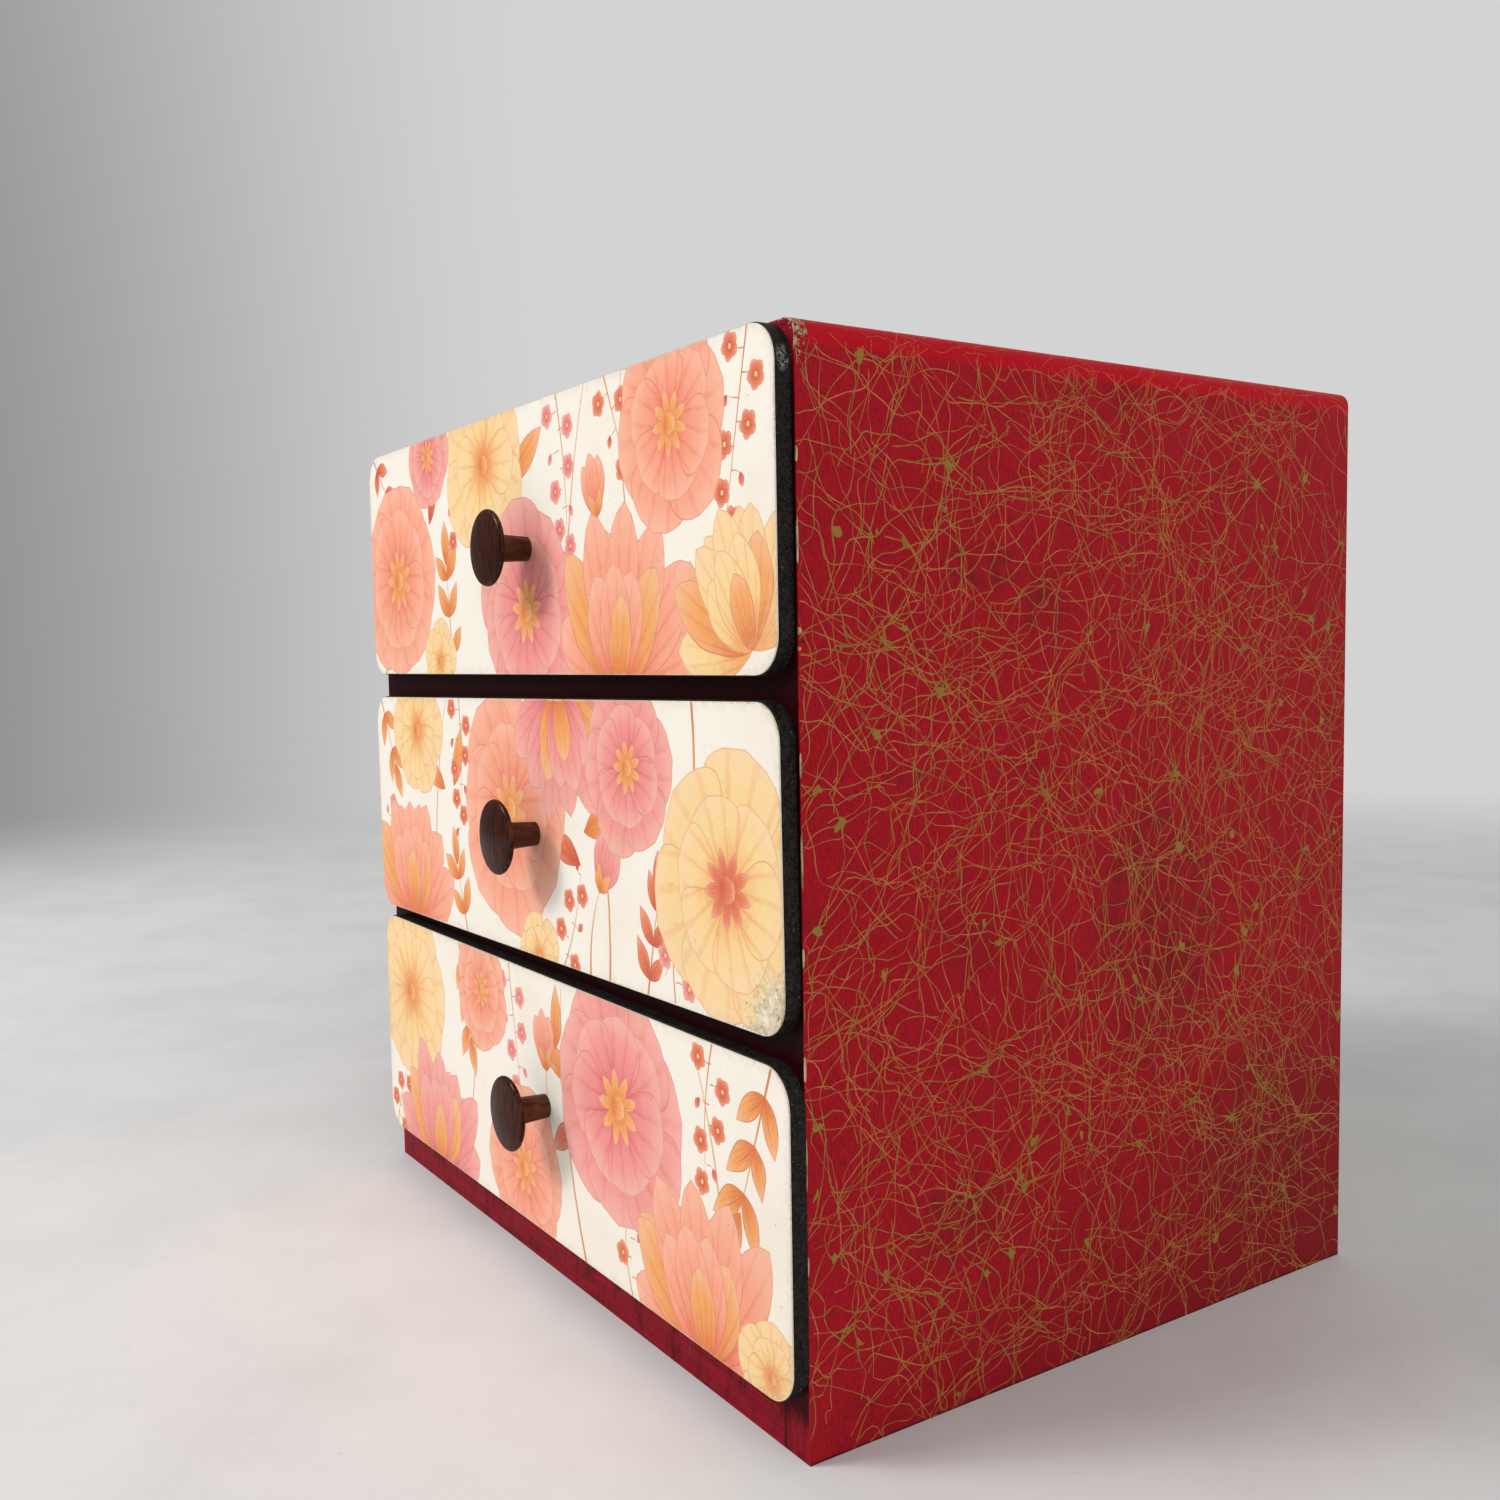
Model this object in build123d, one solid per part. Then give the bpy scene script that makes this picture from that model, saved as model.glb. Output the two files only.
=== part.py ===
from build123d import *
import os
from collections import namedtuple
from math import cos, pi, radians, sin, sqrt

# Small three-drawer tansu chest, in millimetres. X runs to the right of someone who faces the
# drawers, Y to the back and Z up. The origin is the centre of the case's foot.

# ---- Case ----
CASE_WIDTH = 331.0              # over the paper on both sides
CASE_DEPTH = 254.0              # front edges of the boards to the back panel
SIDE_THICKNESS = 12.0
TOP_THICKNESS = 12.1
TOP_LAP = 6.0                   # what is left of the top where it lies over a side board
TOP_EDGE_RADIUS = 5.0           # long edges of the top, measured over the paper
COVER_THICKNESS = 0.4           # paper and its lining
BOTTOM_THICKNESS = 12.0
BOTTOM_HOUSING = 5.0            # how far the bottom board reaches into each side
BACK_THICKNESS = 3.0
BACK_REBATE = 6.0               # how far the back panel reaches over the boards round it

# ---- Rails, drawer openings and runners, from the floor up ----
BOTTOM_RAIL_HEIGHT = 21.0
BOTTOM_RAIL_DEPTH = 15.0
RAIL_HEIGHT = 15.0
RAIL_DEPTH = 24.0
BOTTOM_OPENING = 92.5
MIDDLE_OPENING = 90.0
TOP_OPENING = 84.0
TENON_LENGTH = 5.0
TENON_SHOULDER = 3.0            # wood left round each tenon
RUNNER_WIDTH = 10.0

# ---- Lay-on drawer fronts ----
FRONT_REVEAL = 0.6              # case that shows past each end of a centred front
FRONT_BOARD_THICKNESS = 5.2
FRONT_SHEET_THICKNESS = 0.5
FRONT_CORNER_RADIUS = 12.0
FRONT_ARRIS = 0.4               # rubbed-down edges round the front board's face
SHEET_MARGIN = 0.4              # black edge left round the printed sheet
BARE_STRIP = 17.0               # case that shows below the bottom front
LOWER_GAP = 6.0                 # between the bottom and middle fronts
UPPER_GAP = 8.4                 # between the middle and top fronts
TOP_REVEAL = 0.2                # case that shows above the top front
TOP_FRONT_SHIFT = -1.2          # how far the maker glued each front off centre
MIDDLE_FRONT_SHIFT = -1.0
BOTTOM_FRONT_SHIFT = 0.8
MIDDLE_FRONT_TILT = 0.6         # degrees, its left end hangs low

# ---- Drawer boxes ----
BOX_FRONT_THICKNESS = 9.0
BOX_SIDE_THICKNESS = 7.0
BOX_BACK_THICKNESS = 7.0
BOX_BOTTOM_THICKNESS = 3.0
BOX_BOTTOM_RAISE = 4.0          # groove above the lower edge of the box
BOX_GROOVE_DEPTH = 3.0
COMB_FINGERS = 5                # fingers and gaps up each corner
SIDE_PLAY = 1.0                 # between the box and each side board
TOP_PLAY = 1.5                  # between the box and the rail or top above it
BACK_PLAY = 6.0                 # between the closed box and the back panel
RUNNING_GAP = 0.2               # between the box and what it slides on

# ---- Knobs and their screws ----
KNOB_DIAMETER = 28.0
KNOB_STANDOFF = 15.7            # front face to the rim of the knob's head
KNOB_FOOT_DIAMETER = 9.0
KNOB_NECK_DIAMETER = 10.8       # where the neck meets the head
TOP_KNOB_ACROSS = 3.4           # how far each knob sits right of its front's middle
MIDDLE_KNOB_ACROSS = 3.7
BOTTOM_KNOB_ACROSS = 4.5
TOP_KNOB_UP = -3.1              # and above it
MIDDLE_KNOB_UP = -1.9
BOTTOM_KNOB_UP = 0.1
KNOB_DOME_RISE = 2.7            # of the face, from the rim's middle
KNOB_DOME_CUTS = 5              # straight cuts from the rim to the middle of the face
FLATS_PER_KNOB = 48             # flats that stand for the turned round
KNOB_UNDERSIDE_RISE = 2.2       # of the back of the head, from the rim's middle
KNOB_RIM_RADIUS = 1.1
KNOB_RIM_TURN = radians(75)     # how far the rim turns to each side of its outermost line
KNOB_RIM_CUTS = 4               # straight cuts that ease the rim
SCREW_DIAMETER = 3.5
SCREW_HEAD_DIAMETER = 7.5
SCREW_BITE = 9.5                # depth in the knob
SCREW_TIP = 3.0
SCREW_POINT_DIAMETER = 0.8
SCREW_SLOT_WIDTH = 1.0
SCREW_SLOT_DEPTH = 1.0
SCREW_HOLE_GAP = 0.15           # all round, in the fronts
FLATS_PER_SCREW = 16

# ---- Pegs and nails ----
PEG_WIDTH = 2.4                 # whittled square
PEG_BITE = 12.0                 # depth in the second piece
PEGS_PER_EDGE = 3
PEGS_PER_RUNNER = 2
NAIL_WIDTH = 1.2                # cut square
NAIL_LENGTH = 12.0
NAIL_HEAD_WIDTH = 3.0
NAIL_HEAD_THICKNESS = 0.5
NAILS_PER_SIDE = 4
NAILS_PER_EDGE = 3

GLUE_LINE = 0.05                # gap on each face of a glued joint
PAST = 1.0                      # how far a cutter runs past the wood

# ---- Places that several pieces share ----
FRONT_Y = -CASE_DEPTH / 2
FRONT_WIDTH = CASE_WIDTH - 2 * FRONT_REVEAL
BACK_Y = CASE_DEPTH / 2
BACK_PANEL_Y = BACK_Y - BACK_THICKNESS
SIDE_OUTER_X = CASE_WIDTH / 2 - COVER_THICKNESS
SIDE_INNER_X = SIDE_OUTER_X - SIDE_THICKNESS
LOWER_RAIL_Z = BOTTOM_RAIL_HEIGHT + BOTTOM_OPENING
UPPER_RAIL_Z = LOWER_RAIL_Z + RAIL_HEIGHT + MIDDLE_OPENING
TOP_UNDERSIDE_Z = UPPER_RAIL_Z + RAIL_HEIGHT + TOP_OPENING
TOP_BOARD_Z = TOP_UNDERSIDE_Z + TOP_THICKNESS
CASE_HEIGHT = TOP_BOARD_Z + COVER_THICKNESS
LAP_Z = TOP_BOARD_Z - TOP_LAP
SCREW_HEAD_Y = FRONT_Y + BOX_FRONT_THICKNESS
SHEET_Y = FRONT_Y - FRONT_BOARD_THICKNESS
FACE_Y = SHEET_Y - FRONT_SHEET_THICKNESS
BOX_HALF_WIDTH = SIDE_INNER_X - SIDE_PLAY
BOX_BACK_Y = BACK_PANEL_Y - BACK_PLAY

Rail = namedtuple("Rail", "name floor height depth runner_floor")
RAILS = [
    Rail("bottom", 0.0, BOTTOM_RAIL_HEIGHT, BOTTOM_RAIL_DEPTH, BOTTOM_THICKNESS),
    Rail("lower", LOWER_RAIL_Z, RAIL_HEIGHT, RAIL_DEPTH, LOWER_RAIL_Z),
    Rail("upper", UPPER_RAIL_Z, RAIL_HEIGHT, RAIL_DEPTH, UPPER_RAIL_Z),
]

LOWER_GAP_Z = LOWER_RAIL_Z + RAIL_HEIGHT / 2
UPPER_GAP_Z = UPPER_RAIL_Z + RAIL_HEIGHT / 2

Drawer = namedtuple("Drawer", "name floor opening front_low front_high shift tilt knob_across knob_up")
DRAWERS = [
    Drawer("bottom", BOTTOM_RAIL_HEIGHT, BOTTOM_OPENING, BARE_STRIP, LOWER_GAP_Z - LOWER_GAP / 2,
           BOTTOM_FRONT_SHIFT, 0.0, BOTTOM_KNOB_ACROSS, BOTTOM_KNOB_UP),
    Drawer("middle", LOWER_RAIL_Z + RAIL_HEIGHT, MIDDLE_OPENING, LOWER_GAP_Z + LOWER_GAP / 2,
           UPPER_GAP_Z - UPPER_GAP / 2, MIDDLE_FRONT_SHIFT, MIDDLE_FRONT_TILT,
           MIDDLE_KNOB_ACROSS, MIDDLE_KNOB_UP),
    Drawer("top", UPPER_RAIL_Z + RAIL_HEIGHT, TOP_OPENING, UPPER_GAP_Z + UPPER_GAP / 2,
           CASE_HEIGHT - TOP_REVEAL, TOP_FRONT_SHIFT, 0.0, TOP_KNOB_ACROSS, TOP_KNOB_UP),
]


# ---- Shapes used for many pieces ----

def block(x_span, y_span, z_span):
    """A rectangular board between its low and high faces along X, Y and Z."""
    spans = (x_span, y_span, z_span)
    middle = [(low + high) / 2 for low, high in spans]
    return Pos(*middle) * Box(*[high - low for low, high in spans])


def rod(start, direction, length, diameter):
    """A round rod from a point, along a direction."""
    seat = Plane(origin=start, z_dir=direction)
    return seat * Cylinder(diameter / 2, length, align=(Align.CENTER, Align.CENTER, Align.MIN))


def stick(start, direction, length, width):
    """A square stick from a point, along a direction."""
    seat = Plane(origin=start, z_dir=direction)
    return seat * Box(width, width, length, align=(Align.CENTER, Align.CENTER, Align.MIN))


def spaced(low, high, count):
    """Places for a row of fasteners, with half a step left at each end."""
    step = (high - low) / count
    return [low + step * (index + 0.5) for index in range(count)]


def mirrored(piece):
    """The left-hand twin of a right-hand piece."""
    return mirror(piece, about=Plane.YZ)


def save(name, piece):
    export_step(piece, f"parts/{name}.step")


def save_group(name, pieces):
    save(name, Compound(children=pieces))


# ---- Pegs: where they go, and the holes they need ----

def top_pegs():
    """Through each lap of the top, down into the side board's end grain."""
    middle_x = SIDE_OUTER_X - SIDE_THICKNESS / 2
    return [stick((side * middle_x, y, TOP_BOARD_Z), (0, 0, -1), TOP_LAP + PEG_BITE, PEG_WIDTH)
            for side in (-1, 1)
            for y in spaced(FRONT_Y, BACK_PANEL_Y, PEGS_PER_EDGE)]


def bottom_pegs():
    """Through each side board into the ends of the bottom board."""
    front = FRONT_Y + BOTTOM_RAIL_DEPTH
    length = SIDE_THICKNESS - BOTTOM_HOUSING + PEG_BITE
    return [stick((side * SIDE_OUTER_X, y, BOTTOM_THICKNESS / 2), (-side, 0, 0), length, PEG_WIDTH)
            for side in (-1, 1)
            for y in spaced(front, BACK_PANEL_Y, PEGS_PER_EDGE)]


def runner_pegs():
    """Through each side board into the runner glued to its inner face."""
    pegs = []
    for rail in RAILS:
        height = (rail.runner_floor + rail.floor + rail.height) / 2
        for side in (-1, 1):
            for y in spaced(FRONT_Y + rail.depth, BACK_PANEL_Y, PEGS_PER_RUNNER):
                length = SIDE_THICKNESS + RUNNER_WIDTH / 2
                pegs.append(stick((side * SIDE_OUTER_X, y, height), (-side, 0, 0), length, PEG_WIDTH))
    return pegs


# ---- Case ----

def side_board():
    """Right side board, with its rebates, mortises and peg holes."""
    board = block((SIDE_INNER_X, SIDE_OUTER_X), (FRONT_Y, BACK_Y), (0, LAP_Z))
    board -= block((SIDE_INNER_X - PAST, SIDE_INNER_X + BACK_REBATE), (BACK_PANEL_Y, BACK_Y + PAST),
                   (-PAST, LAP_Z + PAST))
    board -= block((SIDE_INNER_X - PAST, SIDE_INNER_X + BOTTOM_HOUSING),
                   (FRONT_Y + BOTTOM_RAIL_DEPTH, BACK_PANEL_Y + PAST), (-PAST, BOTTOM_THICKNESS))
    for rail in RAILS:
        board -= rail_tenon(rail, GLUE_LINE)
    for peg in top_pegs() + bottom_pegs() + runner_pegs():
        if peg.center().X > 0:
            board -= peg
    return board


def rail_tenon(rail, slack):
    """Right-hand stub tenon of a rail, or with slack the mortise for it."""
    inset = TENON_SHOULDER - slack
    return block((SIDE_INNER_X - PAST, SIDE_INNER_X + TENON_LENGTH + slack),
                 (FRONT_Y + inset, FRONT_Y + rail.depth - inset),
                 (rail.floor + inset, rail.floor + rail.height - inset))


def front_rail(rail):
    board = block((-SIDE_INNER_X, SIDE_INNER_X), (FRONT_Y, FRONT_Y + rail.depth),
                  (rail.floor, rail.floor + rail.height))
    tenon = rail_tenon(rail, 0)
    return board + tenon + mirrored(tenon)


def runner(rail):
    """Right-hand strip behind a rail: the drawer slides on it, the one below is kept down by it."""
    strip = block((SIDE_INNER_X - RUNNER_WIDTH, SIDE_INNER_X), (FRONT_Y + rail.depth, BACK_PANEL_Y),
                  (rail.runner_floor, rail.floor + rail.height))
    for peg in runner_pegs():
        strip -= peg
    return strip


def top_panel():
    """Top board, lapped over both sides, its long edges rounded under the paper."""
    panel = block((-SIDE_OUTER_X, SIDE_OUTER_X), (FRONT_Y, BACK_Y), (TOP_UNDERSIDE_Z, TOP_BOARD_Z))
    long_edges = panel.edges().filter_by(Axis.Y).group_by(Axis.Z)[-1]
    panel = fillet(long_edges, TOP_EDGE_RADIUS - COVER_THICKNESS)
    lap = block((SIDE_INNER_X, SIDE_OUTER_X + PAST), (FRONT_Y - PAST, BACK_Y + PAST),
                (TOP_UNDERSIDE_Z - PAST, LAP_Z))
    back_reach = SIDE_INNER_X + PAST
    panel -= lap
    panel -= mirrored(lap)
    panel -= block((-back_reach, back_reach), (BACK_PANEL_Y, BACK_Y + PAST),
                   (TOP_UNDERSIDE_Z - PAST, TOP_UNDERSIDE_Z + BACK_REBATE))
    for peg in top_pegs():
        panel -= peg
    return panel


def bottom_board():
    reach = SIDE_INNER_X + BOTTOM_HOUSING - GLUE_LINE
    board = block((-reach, reach), (FRONT_Y + BOTTOM_RAIL_DEPTH, BACK_PANEL_Y), (0, BOTTOM_THICKNESS))
    for peg in bottom_pegs():
        board -= peg
    return board


def back_nail_places():
    """Centres of the back's nail heads: up both sides, along the top and the bottom."""
    side_x = SIDE_INNER_X + BACK_REBATE / 2
    top_z = TOP_UNDERSIDE_Z + BACK_REBATE / 2
    bottom_z = BOTTOM_THICKNESS / 2
    up = [(side * side_x, z) for side in (-1, 1) for z in spaced(0, TOP_UNDERSIDE_Z, NAILS_PER_SIDE)]
    along = [(x, z) for z in (bottom_z, top_z)
             for x in spaced(-SIDE_INNER_X, SIDE_INNER_X, NAILS_PER_EDGE)]
    return up + along


def back_nails():
    """Small cut nails, their hammered eight-sided heads proud of the back panel."""
    nails = []
    for x, z in back_nail_places():
        shank = stick((x, BACK_Y, z), (0, -1, 0), NAIL_LENGTH, NAIL_WIDTH)
        seat = Plane(origin=(x, BACK_Y, z), z_dir=(0, 1, 0))
        head = extrude(seat * RegularPolygon(NAIL_HEAD_WIDTH / 2, 8), NAIL_HEAD_THICKNESS)
        nails.append(shank + head)
    return nails


def without_nail_holes(piece):
    """The piece with the holes that the back's nails make in it."""
    for x, z in back_nail_places():
        piece -= stick((x, BACK_Y + PAST, z), (0, -1, 0), NAIL_LENGTH + PAST, NAIL_WIDTH)
    return piece


def back_panel():
    reach = SIDE_INNER_X + BACK_REBATE - GLUE_LINE
    top = TOP_UNDERSIDE_Z + BACK_REBATE - GLUE_LINE
    return block((-reach, reach), (BACK_PANEL_Y, BACK_Y), (0, top))


def paper_cover():
    """One sheet, pasted up the left side, over the top and down the right side."""
    def arch(half_width, height, radius):
        body = block((-half_width, half_width), (FRONT_Y, BACK_Y), (0, height))
        return fillet(body.edges().filter_by(Axis.Y).group_by(Axis.Z)[-1], radius)
    outside = arch(CASE_WIDTH / 2, CASE_HEIGHT, TOP_EDGE_RADIUS)
    inside = arch(SIDE_OUTER_X, TOP_BOARD_Z, TOP_EDGE_RADIUS - COVER_THICKNESS)
    return outside - inside


# ---- Drawer fronts ----

def front_centre(drawer):
    return Vector(drawer.shift, 0, (drawer.front_low + drawer.front_high) / 2)


def knob_centre(drawer):
    """Where the knob's axis and its screw's pass through the front."""
    return front_centre(drawer) + Vector(drawer.knob_across, 0, drawer.knob_up)


def front_slab(drawer, margin, near_y, far_y):
    """Upright slab with rounded corners, as large as the drawer's front less a margin."""
    height = drawer.front_high - drawer.front_low
    outline = RectangleRounded(FRONT_WIDTH - 2 * margin, height - 2 * margin,
                               FRONT_CORNER_RADIUS - margin)
    centre = front_centre(drawer)
    upright = Plane(origin=(centre.X, far_y, centre.Z), x_dir=(1, 0, 0), z_dir=(0, -1, 0))
    return extrude(upright * Rot(0, 0, drawer.tilt) * outline, far_y - near_y)


def screw_hole(drawer):
    """The hole that a drawer's screw passes through, in both of its fronts."""
    centre = knob_centre(drawer)
    length = SCREW_HEAD_Y - FACE_Y + 2 * PAST
    return rod((centre.X, SCREW_HEAD_Y + PAST, centre.Z), (0, -1, 0), length,
               SCREW_DIAMETER + 2 * SCREW_HOLE_GAP)


def front_board(drawer):
    """Lay-on front: black all over, its arrises rubbed down."""
    board = front_slab(drawer, 0, SHEET_Y, FRONT_Y)
    board = chamfer(board.faces().sort_by(Axis.Y)[0].edges(), FRONT_ARRIS)
    return board - screw_hole(drawer)


def front_sheet(drawer):
    """Printed sheet, glued to the front board's face."""
    return front_slab(drawer, SHEET_MARGIN, FACE_Y, SHEET_Y) - screw_hole(drawer)


# ---- Drawer boxes, comb-jointed at their four corners ----

def box_span(drawer):
    """Lower and upper edges of a drawer's box."""
    return drawer.floor + RUNNING_GAP, drawer.floor + drawer.opening - TOP_PLAY


def comb_gaps(drawer, first, x_span, y_span):
    """Cutters for every second finger up a corner, from the first one named."""
    low, high = box_span(drawer)
    step = (high - low) / COMB_FINGERS
    gaps = []
    for index in range(first, COMB_FINGERS, 2):
        foot = low + index * step - (GLUE_LINE if index else PAST)
        head = low + (index + 1) * step + (GLUE_LINE if index + 1 < COMB_FINGERS else PAST)
        gaps.append(block(x_span, y_span, (foot, head)))
    return gaps


def groove(drawer, slack):
    """The slab that the four grooves hold: the box bottom itself, with its slack taken off."""
    low = box_span(drawer)[0] + BOX_BOTTOM_RAISE
    half = BOX_HALF_WIDTH - BOX_SIDE_THICKNESS + BOX_GROOVE_DEPTH - slack
    front = FRONT_Y + BOX_FRONT_THICKNESS - BOX_GROOVE_DEPTH + slack
    back = BOX_BACK_Y - BOX_BACK_THICKNESS + BOX_GROOVE_DEPTH - slack
    return block((-half, half), (front, back), (low, low + BOX_BOTTOM_THICKNESS))


def box_side(drawer):
    """Right side of a box: the comb's odd fingers are its own."""
    side = block((BOX_HALF_WIDTH - BOX_SIDE_THICKNESS, BOX_HALF_WIDTH), (FRONT_Y, BOX_BACK_Y),
                 box_span(drawer))
    across = (BOX_HALF_WIDTH - BOX_SIDE_THICKNESS - PAST, BOX_HALF_WIDTH + PAST)
    at_front = (FRONT_Y - PAST, FRONT_Y + BOX_FRONT_THICKNESS)
    at_back = (BOX_BACK_Y - BOX_BACK_THICKNESS, BOX_BACK_Y + PAST)
    for gap in comb_gaps(drawer, 0, across, at_front) + comb_gaps(drawer, 0, across, at_back):
        side -= gap
    return side - groove(drawer, 0)


def box_end(drawer, y_span):
    """Front or back of a box: the comb's even fingers are its own."""
    end = block((-BOX_HALF_WIDTH, BOX_HALF_WIDTH), y_span, box_span(drawer))
    at_right = (BOX_HALF_WIDTH - BOX_SIDE_THICKNESS, BOX_HALF_WIDTH + PAST)
    through = (y_span[0] - PAST, y_span[1] + PAST)
    for gap in comb_gaps(drawer, 1, at_right, through):
        end -= gap
        end -= mirrored(gap)
    return end - groove(drawer, 0)


def box_front(drawer):
    front = box_end(drawer, (FRONT_Y, FRONT_Y + BOX_FRONT_THICKNESS))
    return front - screw_hole(drawer) - screw_head(drawer, SCREW_HOLE_GAP)


def box_back(drawer):
    return box_end(drawer, (BOX_BACK_Y - BOX_BACK_THICKNESS, BOX_BACK_Y))


# ---- Knobs and screws, turned about the line through both of a drawer's fronts ----

def on_knob_axis(drawer, turned, y):
    """Stand a shape that was turned about its own Y axis on the drawer's knob axis, facing out."""
    centre = knob_centre(drawer)
    return Pos(centre.X, y, centre.Z) * Rot(0, 0, 180) * turned


def turned(outline, flats):
    """A lathe-turned form about the Y axis, from (radius, height) stations, in narrow flats."""
    turns = [2 * pi * flat / flats for flat in range(flats)]
    rings = [[Vector(radius * cos(turn), height, radius * sin(turn)) for turn in turns]
             for radius, height in outline]
    faces = [Face(Wire.make_polygon(end)) for end in (rings[0], rings[-1])]
    for low, high in zip(rings, rings[1:]):
        for flat in range(flats):
            after = (flat + 1) % flats
            corners = [low[flat], low[after], high[after], high[flat]]
            faces.append(Face(Wire.make_polygon(corners)))
    return Solid(Shell(faces))


def knob_rim():
    """Stations round the eased rim of a knob's head, from its underside to its face."""
    centre = KNOB_DIAMETER / 2 - KNOB_RIM_RADIUS
    turns = [KNOB_RIM_TURN * (2 * cut / KNOB_RIM_CUTS - 1) for cut in range(KNOB_RIM_CUTS + 1)]
    return [(centre + KNOB_RIM_RADIUS * cos(turn), KNOB_STANDOFF + KNOB_RIM_RADIUS * sin(turn))
            for turn in turns]


def knob_dome(edge, edge_height):
    """Stations up the domed face, which is part of a ball, from the rim's edge to near its middle."""
    top = KNOB_STANDOFF + KNOB_DOME_RISE
    rise = top - edge_height
    ball_radius = (edge ** 2 + rise ** 2) / (2 * rise)
    outs = [edge * (1 - cut / KNOB_DOME_CUTS) for cut in range(1, KNOB_DOME_CUTS)]
    return [(out, top - ball_radius + sqrt(ball_radius ** 2 - out ** 2)) for out in outs]


def knob(drawer):
    """Turned knob: a neck that widens outwards, and a thin domed head with an eased rim."""
    underside = KNOB_STANDOFF - KNOB_UNDERSIDE_RISE
    neck = [(KNOB_FOOT_DIAMETER / 2, 0), (KNOB_NECK_DIAMETER / 2, underside)]
    rim = knob_rim()
    wood = turned(neck + rim + knob_dome(*rim[-1]), FLATS_PER_KNOB)
    bore = rod((0, 0, 0), (0, 1, 0), SCREW_BITE, SCREW_DIAMETER)
    return on_knob_axis(drawer, wood - bore, FACE_Y)


def screw_head(drawer, slack):
    """Countersunk head, flush with the inside of the box front, or with slack the seat for it."""
    head = SCREW_HEAD_DIAMETER / 2 + slack
    shank = SCREW_DIAMETER / 2
    outline = [(head, 0), (shank, head - shank)]
    return on_knob_axis(drawer, turned(outline, FLATS_PER_SCREW), SCREW_HEAD_Y)


def knob_screw(drawer):
    """Slotted wood screw, from inside the box through both fronts into the knob."""
    centre = knob_centre(drawer)
    length = SCREW_HEAD_Y - FACE_Y + SCREW_BITE
    radius = SCREW_DIAMETER / 2
    outline = [(radius, 0), (radius, length - SCREW_TIP), (SCREW_POINT_DIAMETER / 2, length)]
    shank = on_knob_axis(drawer, turned(outline, FLATS_PER_SCREW), SCREW_HEAD_Y)
    reach = SCREW_HEAD_DIAMETER
    slot = block((centre.X - reach, centre.X + reach),
                 (SCREW_HEAD_Y - SCREW_SLOT_DEPTH, SCREW_HEAD_Y + PAST),
                 (centre.Z - SCREW_SLOT_WIDTH / 2, centre.Z + SCREW_SLOT_WIDTH / 2))
    return shank + screw_head(drawer, 0) - slot


# ---- Write one file for each piece ----

os.makedirs("parts", exist_ok=True)

right_side = without_nail_holes(side_board())
save("side_right", right_side)
save("side_left", mirrored(right_side))
save("top_panel", without_nail_holes(top_panel()))
save("bottom_board", without_nail_holes(bottom_board()))
save("back_panel", without_nail_holes(back_panel()))
save("paper_cover", paper_cover())
save_group("back_nails", back_nails())
save_group("top_pegs", top_pegs())
save_group("bottom_pegs", bottom_pegs())
save_group("runner_pegs", runner_pegs())

for rail in RAILS:
    save(f"{rail.name}_rail", front_rail(rail))
    save(f"{rail.name}_runner_right", runner(rail))
    save(f"{rail.name}_runner_left", mirrored(runner(rail)))

for drawer in DRAWERS:
    side = box_side(drawer)
    save(f"{drawer.name}_front_board", front_board(drawer))
    save(f"{drawer.name}_front_sheet", front_sheet(drawer))
    save(f"{drawer.name}_box_front", box_front(drawer))
    save(f"{drawer.name}_box_side_right", side)
    save(f"{drawer.name}_box_side_left", mirrored(side))
    save(f"{drawer.name}_box_back", box_back(drawer))
    save(f"{drawer.name}_box_bottom", groove(drawer, GLUE_LINE))
    save(f"{drawer.name}_knob", knob(drawer))
    save(f"{drawer.name}_knob_screw", knob_screw(drawer))
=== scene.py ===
import random
from math import atan, atan2, cos, dist, pi, radians, sin, sqrt, tau

import bmesh
import bpy
from mathutils import Matrix, Vector
from mathutils.geometry import delaunay_2d_cdt


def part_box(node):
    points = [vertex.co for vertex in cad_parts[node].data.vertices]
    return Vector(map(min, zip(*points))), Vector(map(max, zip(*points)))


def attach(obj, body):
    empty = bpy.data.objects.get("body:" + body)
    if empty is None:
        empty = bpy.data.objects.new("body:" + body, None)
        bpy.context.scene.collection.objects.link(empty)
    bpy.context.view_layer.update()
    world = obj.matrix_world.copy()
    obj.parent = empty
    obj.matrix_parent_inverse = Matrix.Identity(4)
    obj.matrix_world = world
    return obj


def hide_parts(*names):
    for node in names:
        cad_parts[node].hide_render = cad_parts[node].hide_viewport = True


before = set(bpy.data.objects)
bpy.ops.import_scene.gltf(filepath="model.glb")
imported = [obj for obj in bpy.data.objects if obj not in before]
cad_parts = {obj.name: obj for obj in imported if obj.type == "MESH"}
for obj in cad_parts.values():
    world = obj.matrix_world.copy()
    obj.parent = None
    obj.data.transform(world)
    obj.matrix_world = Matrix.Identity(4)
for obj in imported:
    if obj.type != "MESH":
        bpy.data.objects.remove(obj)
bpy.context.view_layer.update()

# ---- Paper over the sides and the top ----
# One sheet of crimson paper is pasted up the left side, over the top and down the right side.
# It has a fine upright weave, and it is rubbed bare at the front corner of the top and along
# its front edge. Its rounded upper edges carry a painted highlight, and the right side has
# painted shade towards the floor and a painted contact shadow along its foot.

MM = 0.001
CRIMSON = "ac081d"
CRIMSON_EDGE_HIGHLIGHT = "be0018"     # painted highlight along the rounded edges of the top
CRIMSON_DEEP = "7d1018"
EDGE_HIGHLIGHT_BAND = 8.5             # mm of the side that gets the painted highlight
BARE_TAN = "cbb08a"
BARE_CORNER = (11, 4.5)     # mm along both edges and back that the front corner is bare
PIT_AT = (1.4, 240)         # a pit by the near upright edge, and its half size
PIT_HALF = (0.7, 0.7)
PIT_DARK = "3c1512"
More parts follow.
